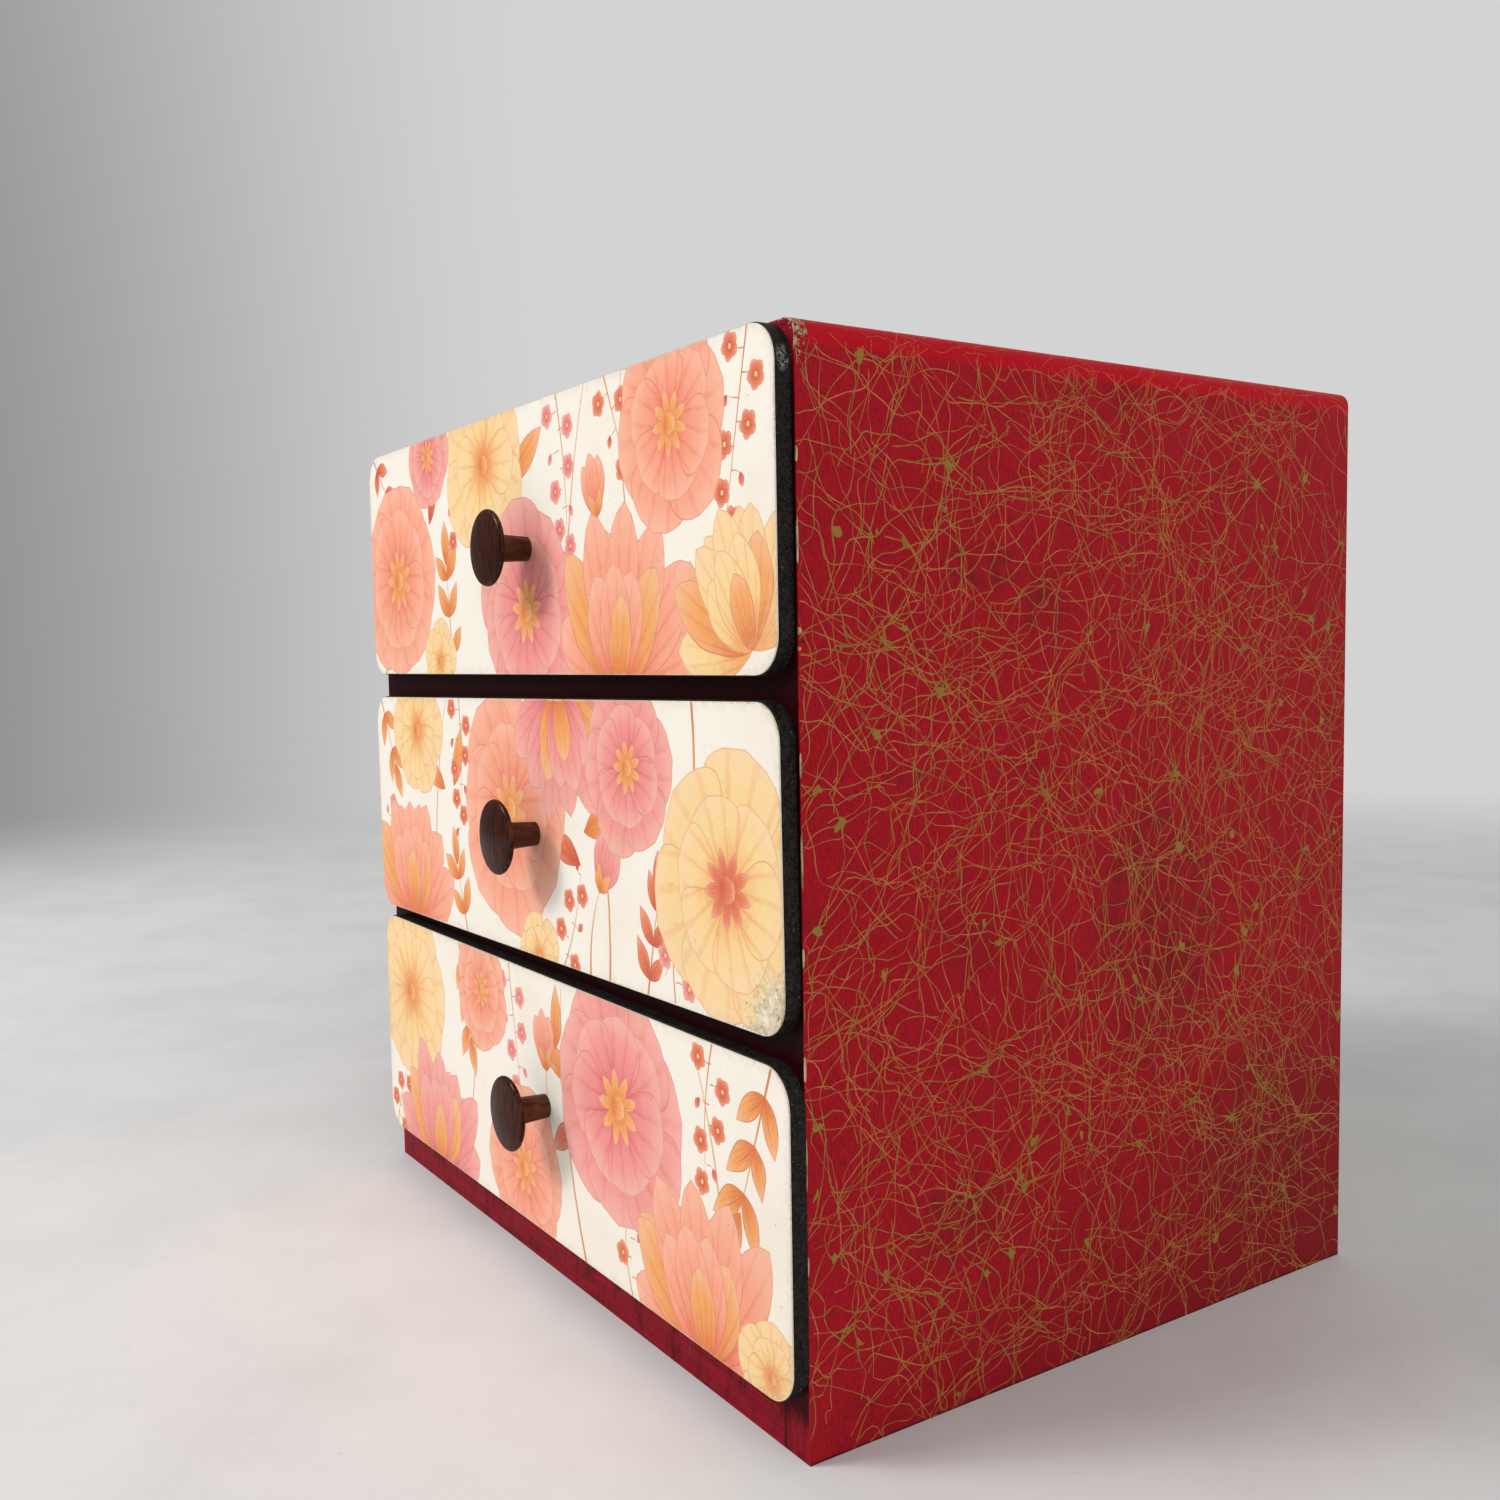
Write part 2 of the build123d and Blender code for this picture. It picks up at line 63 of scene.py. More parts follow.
# where the right side is smudged or rubbed: place from the front and up, then its half size, in mm
SMUDGES = [(34, 199, 5, 4), (42, 199, 5, 4), (70, 262, 22, 9), (95, 250, 12, 14), (150, 140, 40, 60),
           (18, 13, 9, 4), (60, 60, 26, 18), (205, 60, 50, 40)]
# chips along the near upright edge: place up it, its half length and half width, in mm
EDGE_CHIPS = [(243, 1.4, 0.8), (238, 0.8, 0.6), (150, 4, 0.35), (118, 5, 0.4), (292, 3, 0.4), (205, 5, 0.3),
              (268, 9, 0.3), (178, 12, 0.25), (90, 10, 0.3), (60, 4, 0.35)]


def paint(code):
    """A colour by its look on a screen, as the nodes take it."""
    channels = [int(code[place:place + 2], 16) / 255 for place in (0, 2, 4)]
    return [c / 12.92 if c < 0.04045 else ((c + 0.055) / 1.055) ** 2.4 for c in channels] + [1.0]


def sum_of(operation):
    """A way to write one operation of the Math node."""
    return lambda *wires: wires[0].math(operation, *wires)


class Wire:
    """One output of a node, on which sums can be written."""

    __add__ = __radd__ = sum_of("ADD")
    __mul__ = __rmul__ = sum_of("MULTIPLY")
    __sub__ = sum_of("SUBTRACT")
    __truediv__ = sum_of("DIVIDE")
    __pow__ = sum_of("POWER")
    __abs__ = sum_of("ABSOLUTE")
    most = sum_of("MAXIMUM")
    above = sum_of("GREATER_THAN")
    sine = sum_of("SINE")

    def __init__(self, nodes, socket):
        self.nodes = nodes
        self.socket = socket

    def other(self, output):
        return Wire(self.nodes, self.socket.node.outputs[output])

    def math(self, operation, *values):
        return self.nodes.add("ShaderNodeMath", {"operation": operation}, dict(enumerate(values)))

    def __rsub__(self, other):
        return self.math("SUBTRACT", other, self)

    def rise(self, low, high):
        """0 below low and 1 above high, smooth between; low may also be the higher of the two."""
        return self.nodes.add("ShaderNodeMapRange", {"interpolation_type": "SMOOTHSTEP"},
                              {"Value": self, "From Min": low, "From Max": high})


class Nodes:
    """A node tree, written one node at a time."""

    def __init__(self, tree):
        self.tree = tree

    def add(self, kind, settings=None, sockets=None, output=0):
        node = self.tree.nodes.new(kind)
        for name, value in (settings or {}).items():
            setattr(node, name, value)
        for name, value in (sockets or {}).items():
            socket = node.inputs[name]
            for wire in value if isinstance(value, list) and isinstance(value[0], Wire) else [value]:
                if isinstance(wire, Wire):
                    self.tree.links.new(wire.socket, socket)
                else:
                    socket.default_value = wire
        return Wire(self, node.outputs[output])

    def axes(self, vector):
        x = self.add("ShaderNodeSeparateXYZ", sockets={0: vector})
        return x, x.other(1), x.other(2)

    def mix(self, share, under, over):
        under, over = [paint(c) if isinstance(c, str) else c for c in (under, over)]
        return self.add("ShaderNodeMix", {"data_type": "RGBA"}, {0: share, 6: under, 7: over}, 2)


class Finish(Nodes):
    """A material, worked out from where a point lies on the object."""

    def __init__(self, name):
        self.material = bpy.data.materials.new(name)
        self.material.use_nodes = True
        super().__init__(self.material.node_tree)
        self.shader = self.tree.nodes["Principled BSDF"]
        self.colour = None
        self.place = self.add("ShaderNodeTexCoord", output="Object")
        self.x, self.y, self.z = [axis * (1 / MM) for axis in self.axes(self.place)]

    def attribute(self, name, output):
        return self.add("ShaderNodeAttribute", {"attribute_name": name}, output=output)

    def noise(self, size, detail=2.0, roughness=0.5, distortion=0.0, seed=0.0):
        """Noise whose marks are so many mm across, or so many along X, Y and Z."""
        sizes = size if isinstance(size, tuple) else (size, size, size)
        place = self.add("ShaderNodeMapping", sockets={
            "Vector": self.place, "Location": (seed, seed, seed), "Scale": [1 / (MM * s) for s in sizes]})
        return self.add("ShaderNodeTexNoise", sockets={
            "Vector": place, "Scale": 1.0, "Detail": detail, "Roughness": roughness,
            "Distortion": distortion})

    def blot(self, across, up, at, half):
        """1 in the middle of a mark and 0 at its edge, with the two sizes of the mark in mm."""
        far = ((across - at[0]) / half[0]) ** 2 + ((up - at[1]) / half[1]) ** 2
        return far.rise(1.0, 0.2)

    def coat(self, share, over):
        """Lays a colour over what the finish has so far, as thick as its share."""
        self.colour = self.mix(share, self.colour, over)

    def cover(self, roughness, height=None, depth=0.1, **fixed):
        """Joins the colour, the roughness and a relief of so many mm to the shader."""
        sockets = {"Base Color": self.colour, "Roughness": roughness,
                   **{name.replace("_", " "): fixed[name] for name in fixed}}
        if height is not None:
            sockets["Normal"] = self.add("ShaderNodeBump", sockets={"Height": height, "Distance": depth * MM})
        for name, value in sockets.items():
            if isinstance(value, Wire):
                self.tree.links.new(value.socket, self.shader.inputs[name])
            else:
                self.shader.inputs[name].default_value = value
        return self.material


def dress(material, *names):
    """Gives nodes of the frame their finish."""
    for name in names:
        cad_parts[name].data.materials.clear()
        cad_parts[name].data.materials.append(material)


def box_mm(name):
    low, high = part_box(name)
    return low / MM, high / MM


cover_low, cover_high = box_mm("paper_cover")
case_front = cover_low.y
case_top = cover_high.z
case_half = cover_high.x


def top_edge_highlight(f, blur):
    """1 along the two upper edges that the paper is folded over, where a highlight is painted."""
    return (abs(f.x) - case_half + EDGE_HIGHLIGHT_BAND).rise(0, blur) * (f.z - case_top + EDGE_HIGHLIGHT_BAND).rise(0, blur)


def paper_finish():
    f = Finish("crimson_paper")
    weave = f.noise((0.9, 0.55, 3.2), 3, 0.7) - 0.5
    cross = f.noise((0.6, 2.4, 0.6), 2, 0.6) - 0.5
    pores = f.noise((0.9, 0.7, 1.6), 2, 0.6).rise(0.42, 0.32)
    blush = f.noise(60, 3).rise(0.35, 0.65)
    rubbed = f.noise(38, 4, 0.65, seed=3).rise(0.55, 0.75)
    f.colour = f.mix(blush, CRIMSON, "b00a20")
    f.coat(rubbed * 0.35, CRIMSON_DEEP)
    f.coat((weave * 2.2 + cross * 0.9 + 0.5).rise(0.1, 0.95) * 0.7, "7c0812")
    f.coat(pores * 0.6, "4c060c")
    from_front = f.y - case_front
    on_right = f.x.rise(case_half - 1, case_half - 0.5)
    grime = f.noise(5, 3).rise(0.3, 0.7)
    for at_y, at_z, half_y, half_z in SMUDGES:
        smudge = f.blot(from_front, f.z, (at_y, at_z), (half_y, half_z)) * on_right
        f.coat(smudge * grime * 0.45, "4f1a18")
    # Painted shade: the right side is painted darker towards the floor and the back, with the grime noise
    # breaking up its edge.
    low = (f.z - from_front * 0.4 + (grime - 0.5) * 30).rise(50, -110) * on_right
    f.coat(low * 0.55, "5e0a10")
    # Painted highlight: the rounded upper edges are painted a brighter red.
    f.coat(top_edge_highlight(f, 2.5) * 0.75, CRIMSON_EDGE_HIGHLIGHT)
    # Painted contact shadow: a thin dark line along the foot of the paper where it meets the floor.
    painted_contact_shadow = (f.z + (f.noise(4, 2) - 0.5) * 0.8).rise(1.1, 0.3)
    f.coat(painted_contact_shadow * 0.8, "2a0a0a")
    ragged = f.noise((1.3, 1.3, 2.4), 4, 0.75)
    corner = (((f.x - case_half) / BARE_CORNER[0]) ** 2 + (from_front / BARE_CORNER[1]) ** 2
              + ((f.z - case_top) / BARE_CORNER[0]) ** 2)
    bare = (corner + (ragged - 0.5) * 5.0).rise(0.75, 0.6)
    flecks = f.noise((1.6, 2.2, 1.6), 2, 0.5, seed=8).rise(0.64, 0.68)
    bare = bare.most(flecks * (f.z - case_top + 1.5).rise(0, 0.8) * (from_front - 34).rise(0, -22)
                     * (abs(f.x) - case_half + 3).rise(0, 1))
    for at_z, half_z, half_y in EDGE_CHIPS:
        chip = f.blot(from_front, f.z, (0.2, at_z), (half_y * 1.6, half_z)) * on_right
        bare = bare.most((chip + (ragged - 0.5) * 1.2).rise(0.5, 0.65))
    f.coat(bare, f.mix(f.noise((1.0, 1.0, 4)).rise(0.35, 0.65), "8a6440", BARE_TAN))
    pit = f.blot(from_front, f.z, PIT_AT, PIT_HALF) * on_right
    pit = pit.most(f.noise(1.1, 2, 0.6, seed=15).rise(0.56, 0.6) * corner.rise(1.6, 0.9))
    f.coat(pit * 0.85, PIT_DARK)
    roughness = 0.5 + weave * 0.2 + bare * 0.2 + rubbed * 0.08
    return f.cover(roughness, weave * 0.5 + cross * 0.3 - bare * 1.5, 0.12,
                   Specular_IOR_Level=0.12)


dress(paper_finish(), "paper_cover")

# ---- Threads in the paper ----
# Long fine fibres lie on the red ground in every direction. They bend, run together in bundles,
# and meet in small stars where a little olive gold paint has pooled.

THREADS_PER_AREA = 8700     # on a square metre
THREAD_LENGTH = 84
THREAD_SEGMENTS = 32
THREAD_WIDTH = 0.29
THREAD_BEND = 17            # how far a thread strays in its broad curves
THREAD_WAVE = 25            # and how long those are
THREAD_WOBBLE = 1.9         # the same for its small curves
THREAD_WOBBLE_WAVE = 9
KNOTS_PER_AREA = 1050
KNOT_REACH = 10             # how far off threads are drawn to a knot
KNOT_PULL = 0.42            # and by what share of the way
KNOT_SIZE = 1.8
KNOT_CORNERS = 15
THREAD_LIFT = 0.02          # lowest thread above the paper
THREAD_PILE = 0.05          # and the highest above that
COVER_EDGE_RADIUS = 5
THREAD_SEED = 11
SMALLEST_FACE = 1e-10       # square metres; smaller ones are slivers and are taken out


class Recipe(Nodes):
    """A Geometry Nodes tree with named inputs."""

    def __init__(self, name, inputs):
        super().__init__(bpy.data.node_groups.new(name, "GeometryNodeTree"))
        face = self.tree.interface
        face.new_socket("Geometry", in_out="OUTPUT", socket_type="NodeSocketGeometry")
        self.identifiers = {label: face.new_socket(label, in_out="INPUT", socket_type=kind).identifier
                            for label, kind in inputs.items()}
        self.group = self.tree.nodes.new("NodeGroupInput")

    def __getitem__(self, label):
        return Wire(self, self.group.outputs[label])

    def vector(self, x=0.0, y=0.0, z=0.0):
        return self.add("ShaderNodeCombineXYZ", sockets={"X": x, "Y": y, "Z": z})

    def chance(self, low, high, seed):
        return self.add("FunctionNodeRandomValue", sockets={2: low, 3: high, 8: seed}, output=1)

    def keep(self, geometry, name, value):
        return self.add("GeometryNodeStoreNamedAttribute", {"data_type": "FLOAT", "domain": "POINT"},
                        {"Geometry": geometry, "Name": name, "Value": value})

    def kept(self, name):
        return self.add("GeometryNodeInputNamedAttribute", {"data_type": "FLOAT"}, {"Name": name})

    def join(self, first, second, operation):
        return self.add("ShaderNodeVectorMath", {"operation": operation}, {0: first, 1: second})

    def scaled(self, vector, size):
        return self.add("ShaderNodeVectorMath", {"operation": "SCALE"}, {0: vector, "Scale": size})

    def shift(self, geometry, offset):
        return self.add("GeometryNodeSetPosition", sockets={"Geometry": geometry, "Offset": offset})

    def realized(self, geometry):
        return self.add("GeometryNodeRealizeInstances", sockets={"Geometry": geometry})

    def any_way(self, seed):
        """A turn in the plane of the sheet, another for each point."""
        return self.vector(z=self.chance(0.0, tau, seed))

    def level_line(self, length):
        """A line along X with its middle at the origin."""
        return self.add("GeometryNodeCurvePrimitiveLine", {"mode": "DIRECTION"}, {
            "Start": self.scaled((-0.5, 0.0, 0.0), length), "Direction": (1.0, 0.0, 0.0),
            "Length": length})

    def strayed(self, geometry, noise, size, lift=0.0):
        """Moves points in the plane of the sheet as a noise says, and up by so much."""
        stray = self.join(self.join(noise, (0.5, 0.5, 0.5), "SUBTRACT"), (1.0, 1.0, 0.0), "MULTIPLY")
        return self.shift(geometry, self.join(self.scaled(stray, size), self.vector(z=lift), "ADD"))

    def finish(self, geometry, material):
        real = self.realized(geometry)
        painted = self.add("GeometryNodeSetMaterial", sockets={"Geometry": real, "Material": material})
        out = self.tree.nodes.new("NodeGroupOutput")
        self.tree.links.new(painted.socket, out.inputs[0])


def placed(name, data):
    """A new object in the scene."""
    thing = bpy.data.objects.new(name, data)
    bpy.context.scene.collection.objects.link(thing)
    return thing


def made_by(recipe, name, mesh, values):
    """A plain mesh object that holds what the recipe makes from a mesh."""
    host = placed(name, mesh)
    modifier = host.modifiers.new("recipe", "NODES")
    modifier.node_group = recipe.tree
    for label, value in values.items():
        modifier[recipe.identifiers[label]] = value
    graph = bpy.context.evaluated_depsgraph_get()
    result = bpy.data.meshes.new_from_object(host.evaluated_get(graph))
    host.modifiers.remove(modifier)
    host.data = result
    return host


def thread_recipe():
    sizes = ("Sheet Length", "Sheet Depth", "Threads per Area", "Thread Length", "Thread Width", "Bend",
             "Wobble", "Knots per Area", "Knot Reach", "Knot Size", "Pile")
    r = Recipe("paper_threads", dict.fromkeys(sizes, "NodeSocketFloat")
               | {"Seed": "NodeSocketInt", "Material": "NodeSocketMaterial"})
    here = r.add("GeometryNodeInputPosition")
    sheet = r.add("GeometryNodeMeshGrid", sockets={
        "Size X": r["Sheet Length"], "Size Y": r["Sheet Depth"], "Vertices X": 90, "Vertices Y": 24})
    crowd = r.add("ShaderNodeTexNoise", sockets={"Vector": here, "Scale": 1 / (48 * MM), "Detail": 1.0})
    starts = r.add("GeometryNodeDistributePointsOnFaces", sockets={
        "Mesh": sheet, "Density": r["Threads per Area"] * (crowd.rise(0.3, 0.7) * 1.1 + 0.45),
        "Seed": r["Seed"]})
    starts = r.keep(starts, "phase", r.chance(0.0, 400.0, 1))
    starts = r.keep(starts, "tone", r.chance(0.0, 0.95, 2))
    starts = r.keep(starts, "level", r.chance(0.0, 1.0, 9))
    straight = r.add("GeometryNodeResampleCurve", sockets={
        "Curve": r.level_line(r["Thread Length"]), "Count": THREAD_SEGMENTS + 1})
    laid = r.realized(r.add("GeometryNodeInstanceOnPoints", sockets={
        "Points": starts, "Instance": straight, "Rotation": r.any_way(3), "Scale": r.chance(0.45, 1.55, 4)}))
    for wave, size in ((THREAD_WAVE, r["Bend"]), (THREAD_WOBBLE_WAVE, r["Wobble"])):
        drift = r.add("ShaderNodeTexNoise", {"noise_dimensions": "4D"}, {
            "Vector": here, "W": r.kept("phase"), "Scale": 1 / (wave * MM), "Detail": 1.0}, 1)
        laid = r.strayed(laid, drift, size * 2.0)
    knots = r.add("GeometryNodeDistributePointsOnFaces", sockets={
        "Mesh": sheet, "Density": r["Knots per Area"], "Seed": r["Seed"] + 1})
    nearest = r.add("GeometryNodeSampleNearest", {"domain": "POINT"}, {"Geometry": knots})
    knot = r.add("GeometryNodeSampleIndex", {"data_type": "FLOAT_VECTOR"}, {
        "Geometry": knots, "Value": here, "Index": nearest})
    way = r.join(knot, here, "SUBTRACT")
    far = r.add("ShaderNodeVectorMath", {"operation": "LENGTH"}, {0: way}, 1)
    near = (1 - far / r["Knot Reach"]).most(0.0)
    laid = r.keep(laid, "near", near)
    laid = r.shift(laid, r.scaled(way, near ** 1.5 * KNOT_PULL))
    laid = r.shift(laid, r.vector(z=r.kept("level") * r["Pile"]))
    laid = r.add("GeometryNodeSetCurveNormal", {"mode": "Z_UP"}, {"Curve": laid})
    spread = r.chance(0.65, 1.18, 5) ** 2.2 + r.kept("near") ** 3 * 1.3
    laid = r.add("GeometryNodeSetCurveRadius", sockets={"Curve": laid, "Radius": spread})
    ribbons = r.add("GeometryNodeCurveToMesh", sockets={
        "Curve": laid, "Profile Curve": r.level_line(r["Thread Width"]), "Scale": r.kept("radius")})
    ribbons = r.keep(ribbons, "tone", r.kept("tone") + r.kept("near") ** 2)
    drop = r.add("GeometryNodeMeshCircle", {"fill_type": "NGON"}, {
        "Vertices": KNOT_CORNERS, "Radius": r["Knot Size"]})
    drops = r.realized(r.add("GeometryNodeInstanceOnPoints", sockets={
        "Points": knots, "Instance": drop, "Rotation": r.any_way(8),
        "Scale": r.vector(r.chance(0.3, 1.3, 6), r.chance(0.3, 0.9, 7), 1.0)}))
    ragged = r.add("ShaderNodeTexNoise", sockets={"Vector": here, "Scale": 1 / (1.2 * MM)}, output=1)
    drops = r.strayed(drops, ragged, r["Knot Size"] * 2.4, r["Pile"] * r.chance(1.1, 1.5, 10))
    drops = r.keep(drops, "tone", 1.4)
    both = r.add("GeometryNodeJoinGeometry", sockets={0: [ribbons, drops]})
    x, y, _ = r.axes(here)
    past = (abs(x) - r["Sheet Length"] * 0.5).most(abs(y) - r["Sheet Depth"] * 0.5)
    both = r.add("GeometryNodeDeleteGeometry", {"domain": "FACE"}, {
        "Geometry": both, "Selection": past.above(0.0)})
    r.finish(both, r["Material"])
    return r


def thread_finish():
    f = Finish("gold_thread")
    tone = f.attribute("tone", "Fac")
    fade = f.noise((9, 9, 9), 3, seed=5)
    patch = f.noise((2.5, 2.5, 2.5), 3, 0.7, seed=9)
    f.colour = f.mix((tone * 0.8 + patch.rise(0.3, 0.7) * 0.4).rise(0.0, 1.0), "c27040", "91722c")
    f.coat(fade.rise(0.42, 0.75) * 0.5, "9a3626")
    # Painted highlight: near the rounded upper edges the threads are painted into the bright red of that
    # highlight.
    f.coat(top_edge_highlight(f, 2) * 0.7, "c8382e")
    return f.cover(0.5 + f.noise(0.6) * 0.2, Specular_IOR_Level=0.25)


def place_on_cover(u, v, lift):
    """A place of the flat sheet, on the case: u runs up the left side, over and down, v to the back."""
    upright = case_top - COVER_EDGE_RADIUS
    arc = COVER_EDGE_RADIUS * pi / 2
    level = 2 * (case_half - COVER_EDGE_RADIUS)
    if u > upright + arc + level / 2:
        mirrored = place_on_cover(2 * (upright + arc) + level - u, v, lift)
        return Vector((-mirrored.x, mirrored.y, mirrored.z))
    if u < upright:
        x, z = -case_half - lift, u
    elif u < upright + arc:
        turn = (u - upright) / COVER_EDGE_RADIUS
        reach = COVER_EDGE_RADIUS + lift
        x = COVER_EDGE_RADIUS - case_half - reach * cos(turn)
        z = upright + reach * sin(turn)
    else:
        x, z = COVER_EDGE_RADIUS - case_half + u - upright - arc, case_top + lift
    return Vector((x, case_front + v, z))


def add_threads():
    depth = cover_high.y - cover_low.y
    straight = 2 * (case_top - COVER_EDGE_RADIUS) + 2 * (case_half - COVER_EDGE_RADIUS)
    length = straight + COVER_EDGE_RADIUS * pi
    threads = made_by(thread_recipe(), "cover_threads", bpy.data.meshes.new("threads"), {
        "Sheet Length": length * MM, "Sheet Depth": depth * MM, "Threads per Area": THREADS_PER_AREA,
        "Thread Length": THREAD_LENGTH * MM, "Thread Width": THREAD_WIDTH * MM,
        "Bend": THREAD_BEND * MM, "Wobble": THREAD_WOBBLE * MM, "Knots per Area": KNOTS_PER_AREA,
        "Knot Reach": KNOT_REACH * MM, "Knot Size": KNOT_SIZE * MM, "Pile": THREAD_PILE * MM,
        "Seed": THREAD_SEED, "Material": thread_finish()})
    for vertex in threads.data.vertices:
        u = min(max(vertex.co.x / MM + length / 2, 0), length)
        v = min(max(vertex.co.y / MM + depth / 2, 0), depth)
        vertex.co = place_on_cover(u, v, THREAD_LIFT + vertex.co.z / MM) * MM
    mesh = bmesh.new()
    mesh.from_mesh(threads.data)
    slivers = [face for face in mesh.faces if face.calc_area() < SMALLEST_FACE]
    bmesh.ops.delete(mesh, geom=slivers, context="FACES")
    mesh.normal_update()
    middle = Vector((0, 0, case_top / 2)) * MM
    inward = [face for face in mesh.faces if face.normal.dot(face.calc_center_median() - middle) < 0]
    bmesh.ops.reverse_faces(mesh, faces=inward)
    mesh.to_mesh(threads.data)
    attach(threads, "case")


add_threads()

# ---- Case boards ----
# The sides, the top and the front rails are softwood, bare inside. Their front edges are painted
# with a dark red lacquer, thin enough to show the grain, which has run a little way inside. The
# lacquer has painted shade, nearly black, in the gaps between the drawers and a painted shadow
# along the bottom rail under the lowest front.

SIDE_BOARD_INNER = box_mm("side_right")[0].x
BARE_STRIP = box_mm("bottom_front_board")[0].z


def wood(f, light, dark, along, seed=0.0):
    """Gives a finish the colour of planed wood whose grain runs along one axis, and tells its relief."""
    def sizes(across, length):
        return tuple(length if axis == along else across for axis in "xyz")
    rings = f.noise(sizes(7, 160), 3, 0.55, 0.6, seed)
    fibre = f.noise(sizes(0.45, 24), 3, 0.65, seed=seed + 1)
    blush = f.noise(sizes(40, 120), 2, seed=seed + 2)
    lines = (rings * 42 + fibre * 1.6).sine() * 0.5 + 0.5
    pores = f.noise(sizes(0.5, 9), 2, 0.5, seed=seed + 4).rise(0.38, 0.3)
    shade = lines ** 2 * 0.4 + (fibre - 0.3) * 0.6 + (blush - 0.5) * 0.5
    f.colour = f.mix(shade.rise(-0.1, 0.95), light, dark)
    f.coat(pores * 0.5, dark)
    return fibre - pores * 0.6 + lines * 0.25


def case_board_finish(name, along):
    f = Finish(name)
    relief = wood(f, "d3ab78", "9c6c3c", along)
    bare = f.colour
    streak = f.noise((0.7, 0.7, 26) if along == "z" else (26, 0.7, 0.7), 3, 0.6)
    smear = f.noise((5, 5, 12), 4, 0.65, seed=2)
    scratch = f.noise((1.1, 1.1, 9), 4, 0.7, 0.5, seed=6)
    f.colour = f.mix(streak.rise(0.3, 0.75), "6e0e19", "98142a")
    f.coat(smear.rise(0.48, 0.72) * 0.6, "3a0a0d")
    f.coat(scratch.rise(0.6, 0.72) * 0.45, "6a5444")
    # Painted shade: the lacquer is darkened nearly black in the gaps between the drawers and under the
    # fronts.
    below_top = (case_top - 8 - f.z).rise(0, 14)
    painted_gap_shade = (f.z - 25).rise(0, 40) * below_top
    painted_shadow_under_front = (f.z - BARE_STRIP + 8 + (smear - 0.5) * 14).rise(0, 9)
    f.coat(painted_gap_shade.most(painted_shadow_under_front * below_top * 0.75), "230104")
    joint = (abs(abs(f.x) - SIDE_BOARD_INNER) - 0.15).rise(0.3, 0.0) * (case_top - 12 - f.z).rise(0, 1)
    f.coat(joint * 0.9, "100202")
    chips = f.noise(1.3, 2, 0.5, seed=9).rise(0.66, 0.7) * (f.z - case_top + 14).rise(0, 12)
    f.coat(chips * 0.7, "c79a8c")
    run = f.y - case_front - 2.5 + (f.noise((4, 4, 4), 3, 0.6) - 0.5) * 5
    painted = run.rise(0.4, -0.4)
    f.colour = f.mix(painted, bare, f.colour)
    roughness = 0.72 - painted * 0.25 + (streak - 0.5) * 0.2
    return f.cover(roughness, relief * (1 - painted * 0.6), 0.1, Specular_IOR_Level=0.04)


dress(case_board_finish("case_upright_board", "z"), "side_left", "side_right")
dress(case_board_finish("case_level_board", "x"), "top_panel", "bottom_rail", "lower_rail", "upper_rail")

# ---- Bottom, back and runners ----
# The bottom board and the runners are bare softwood, the back is thin plywood nailed into its
# rebates, and bamboo pegs hold the bottom and the runners.


def bare_finish(name, light, dark, along, seed=0.0):
    f = Finish(name)
    relief = wood(f, light, dark, along, seed)
    stain = f.noise(30, 4, 0.6, seed=seed + 7).rise(0.52, 0.8)
    f.coat(stain * 0.4, "6b4a2c")
    return f.cover(0.68 + f.noise(3) * 0.15, relief, 0.14)


def nail_finish():
    f = Finish("cut_nail")
    rust = f.noise(0.8, 3, 0.6).rise(0.45, 0.6)
    f.colour = f.mix(rust, "6a645d", "4a2c1c")
    return f.cover(0.42 + rust * 0.35, rust, 0.05, Metallic=0.85)


dress(bare_finish("bottom_softwood", "cfa876", "946638", "x", 1), "bottom_board")
dress(bare_finish("runner_softwood", "d2ad7c", "9a6d40", "y", 2),
      *[f"{row}_runner_{side}" for row in ("bottom", "lower", "upper") for side in ("left", "right")])
dress(bare_finish("back_plywood", "bf9766", "8a6239", "x", 3), "back_panel")
dress(bare_finish("bamboo_peg", "cdb27a", "9b7d48", "z", 4), "top_pegs", "bottom_pegs", "runner_pegs")
dress(nail_finish(), "back_nails")

# ---- Drawer boxes ----
# Each box is planed pale softwood, comb-jointed at its corners, with a thin plywood bottom held
# in a groove. Handling has left patches of brownish grime on the wood.

DRAWERS = ["bottom", "middle", "top"]


def box_finish(name, along, seed):
    f = Finish(name)
    relief = wood(f, "dcbd8f", "b08450", along, seed)
    ends = f.noise(0.5, 2, seed=seed).rise(0.3, 0.75)
    facing = dict(zip("xyz", f.axes(f.add("ShaderNodeNewGeometry", output="Normal"))))
    f.coat(abs(facing[along]).rise(0.7, 0.9) * 0.75, f.mix(ends, "b8905c", "8a6238"))
    grime = f.noise(24, 4, 0.6, seed=seed + 3).rise(0.5, 0.8)
    f.coat(grime * 0.35, "7d6448")
    return f.cover(0.66 + grime * 0.12, relief, 0.12)


for number, drawer in enumerate(DRAWERS):
    dress(box_finish(f"{drawer}_box_sides", "y", 10 + number),
          f"{drawer}_box_side_left", f"{drawer}_box_side_right")
    dress(box_finish(f"{drawer}_box_ends", "x", 20 + number), f"{drawer}_box_front", f"{drawer}_box_back")
    dress(bare_finish(f"{drawer}_plywood", "d8ba8c", "b38c5c", "x", 30 + number), f"{drawer}_box_bottom")

# ---- Drawer fronts ----
# Thin boards with rounded corners, painted a soft black that has taken a leathery skin. The
# arrises and corners are scuffed grey.

SCUFF_AT = (-129.8, 318.5)      # along Y and up the right edge of the top front
SCUFF_HALF = (2.6, 4.6)


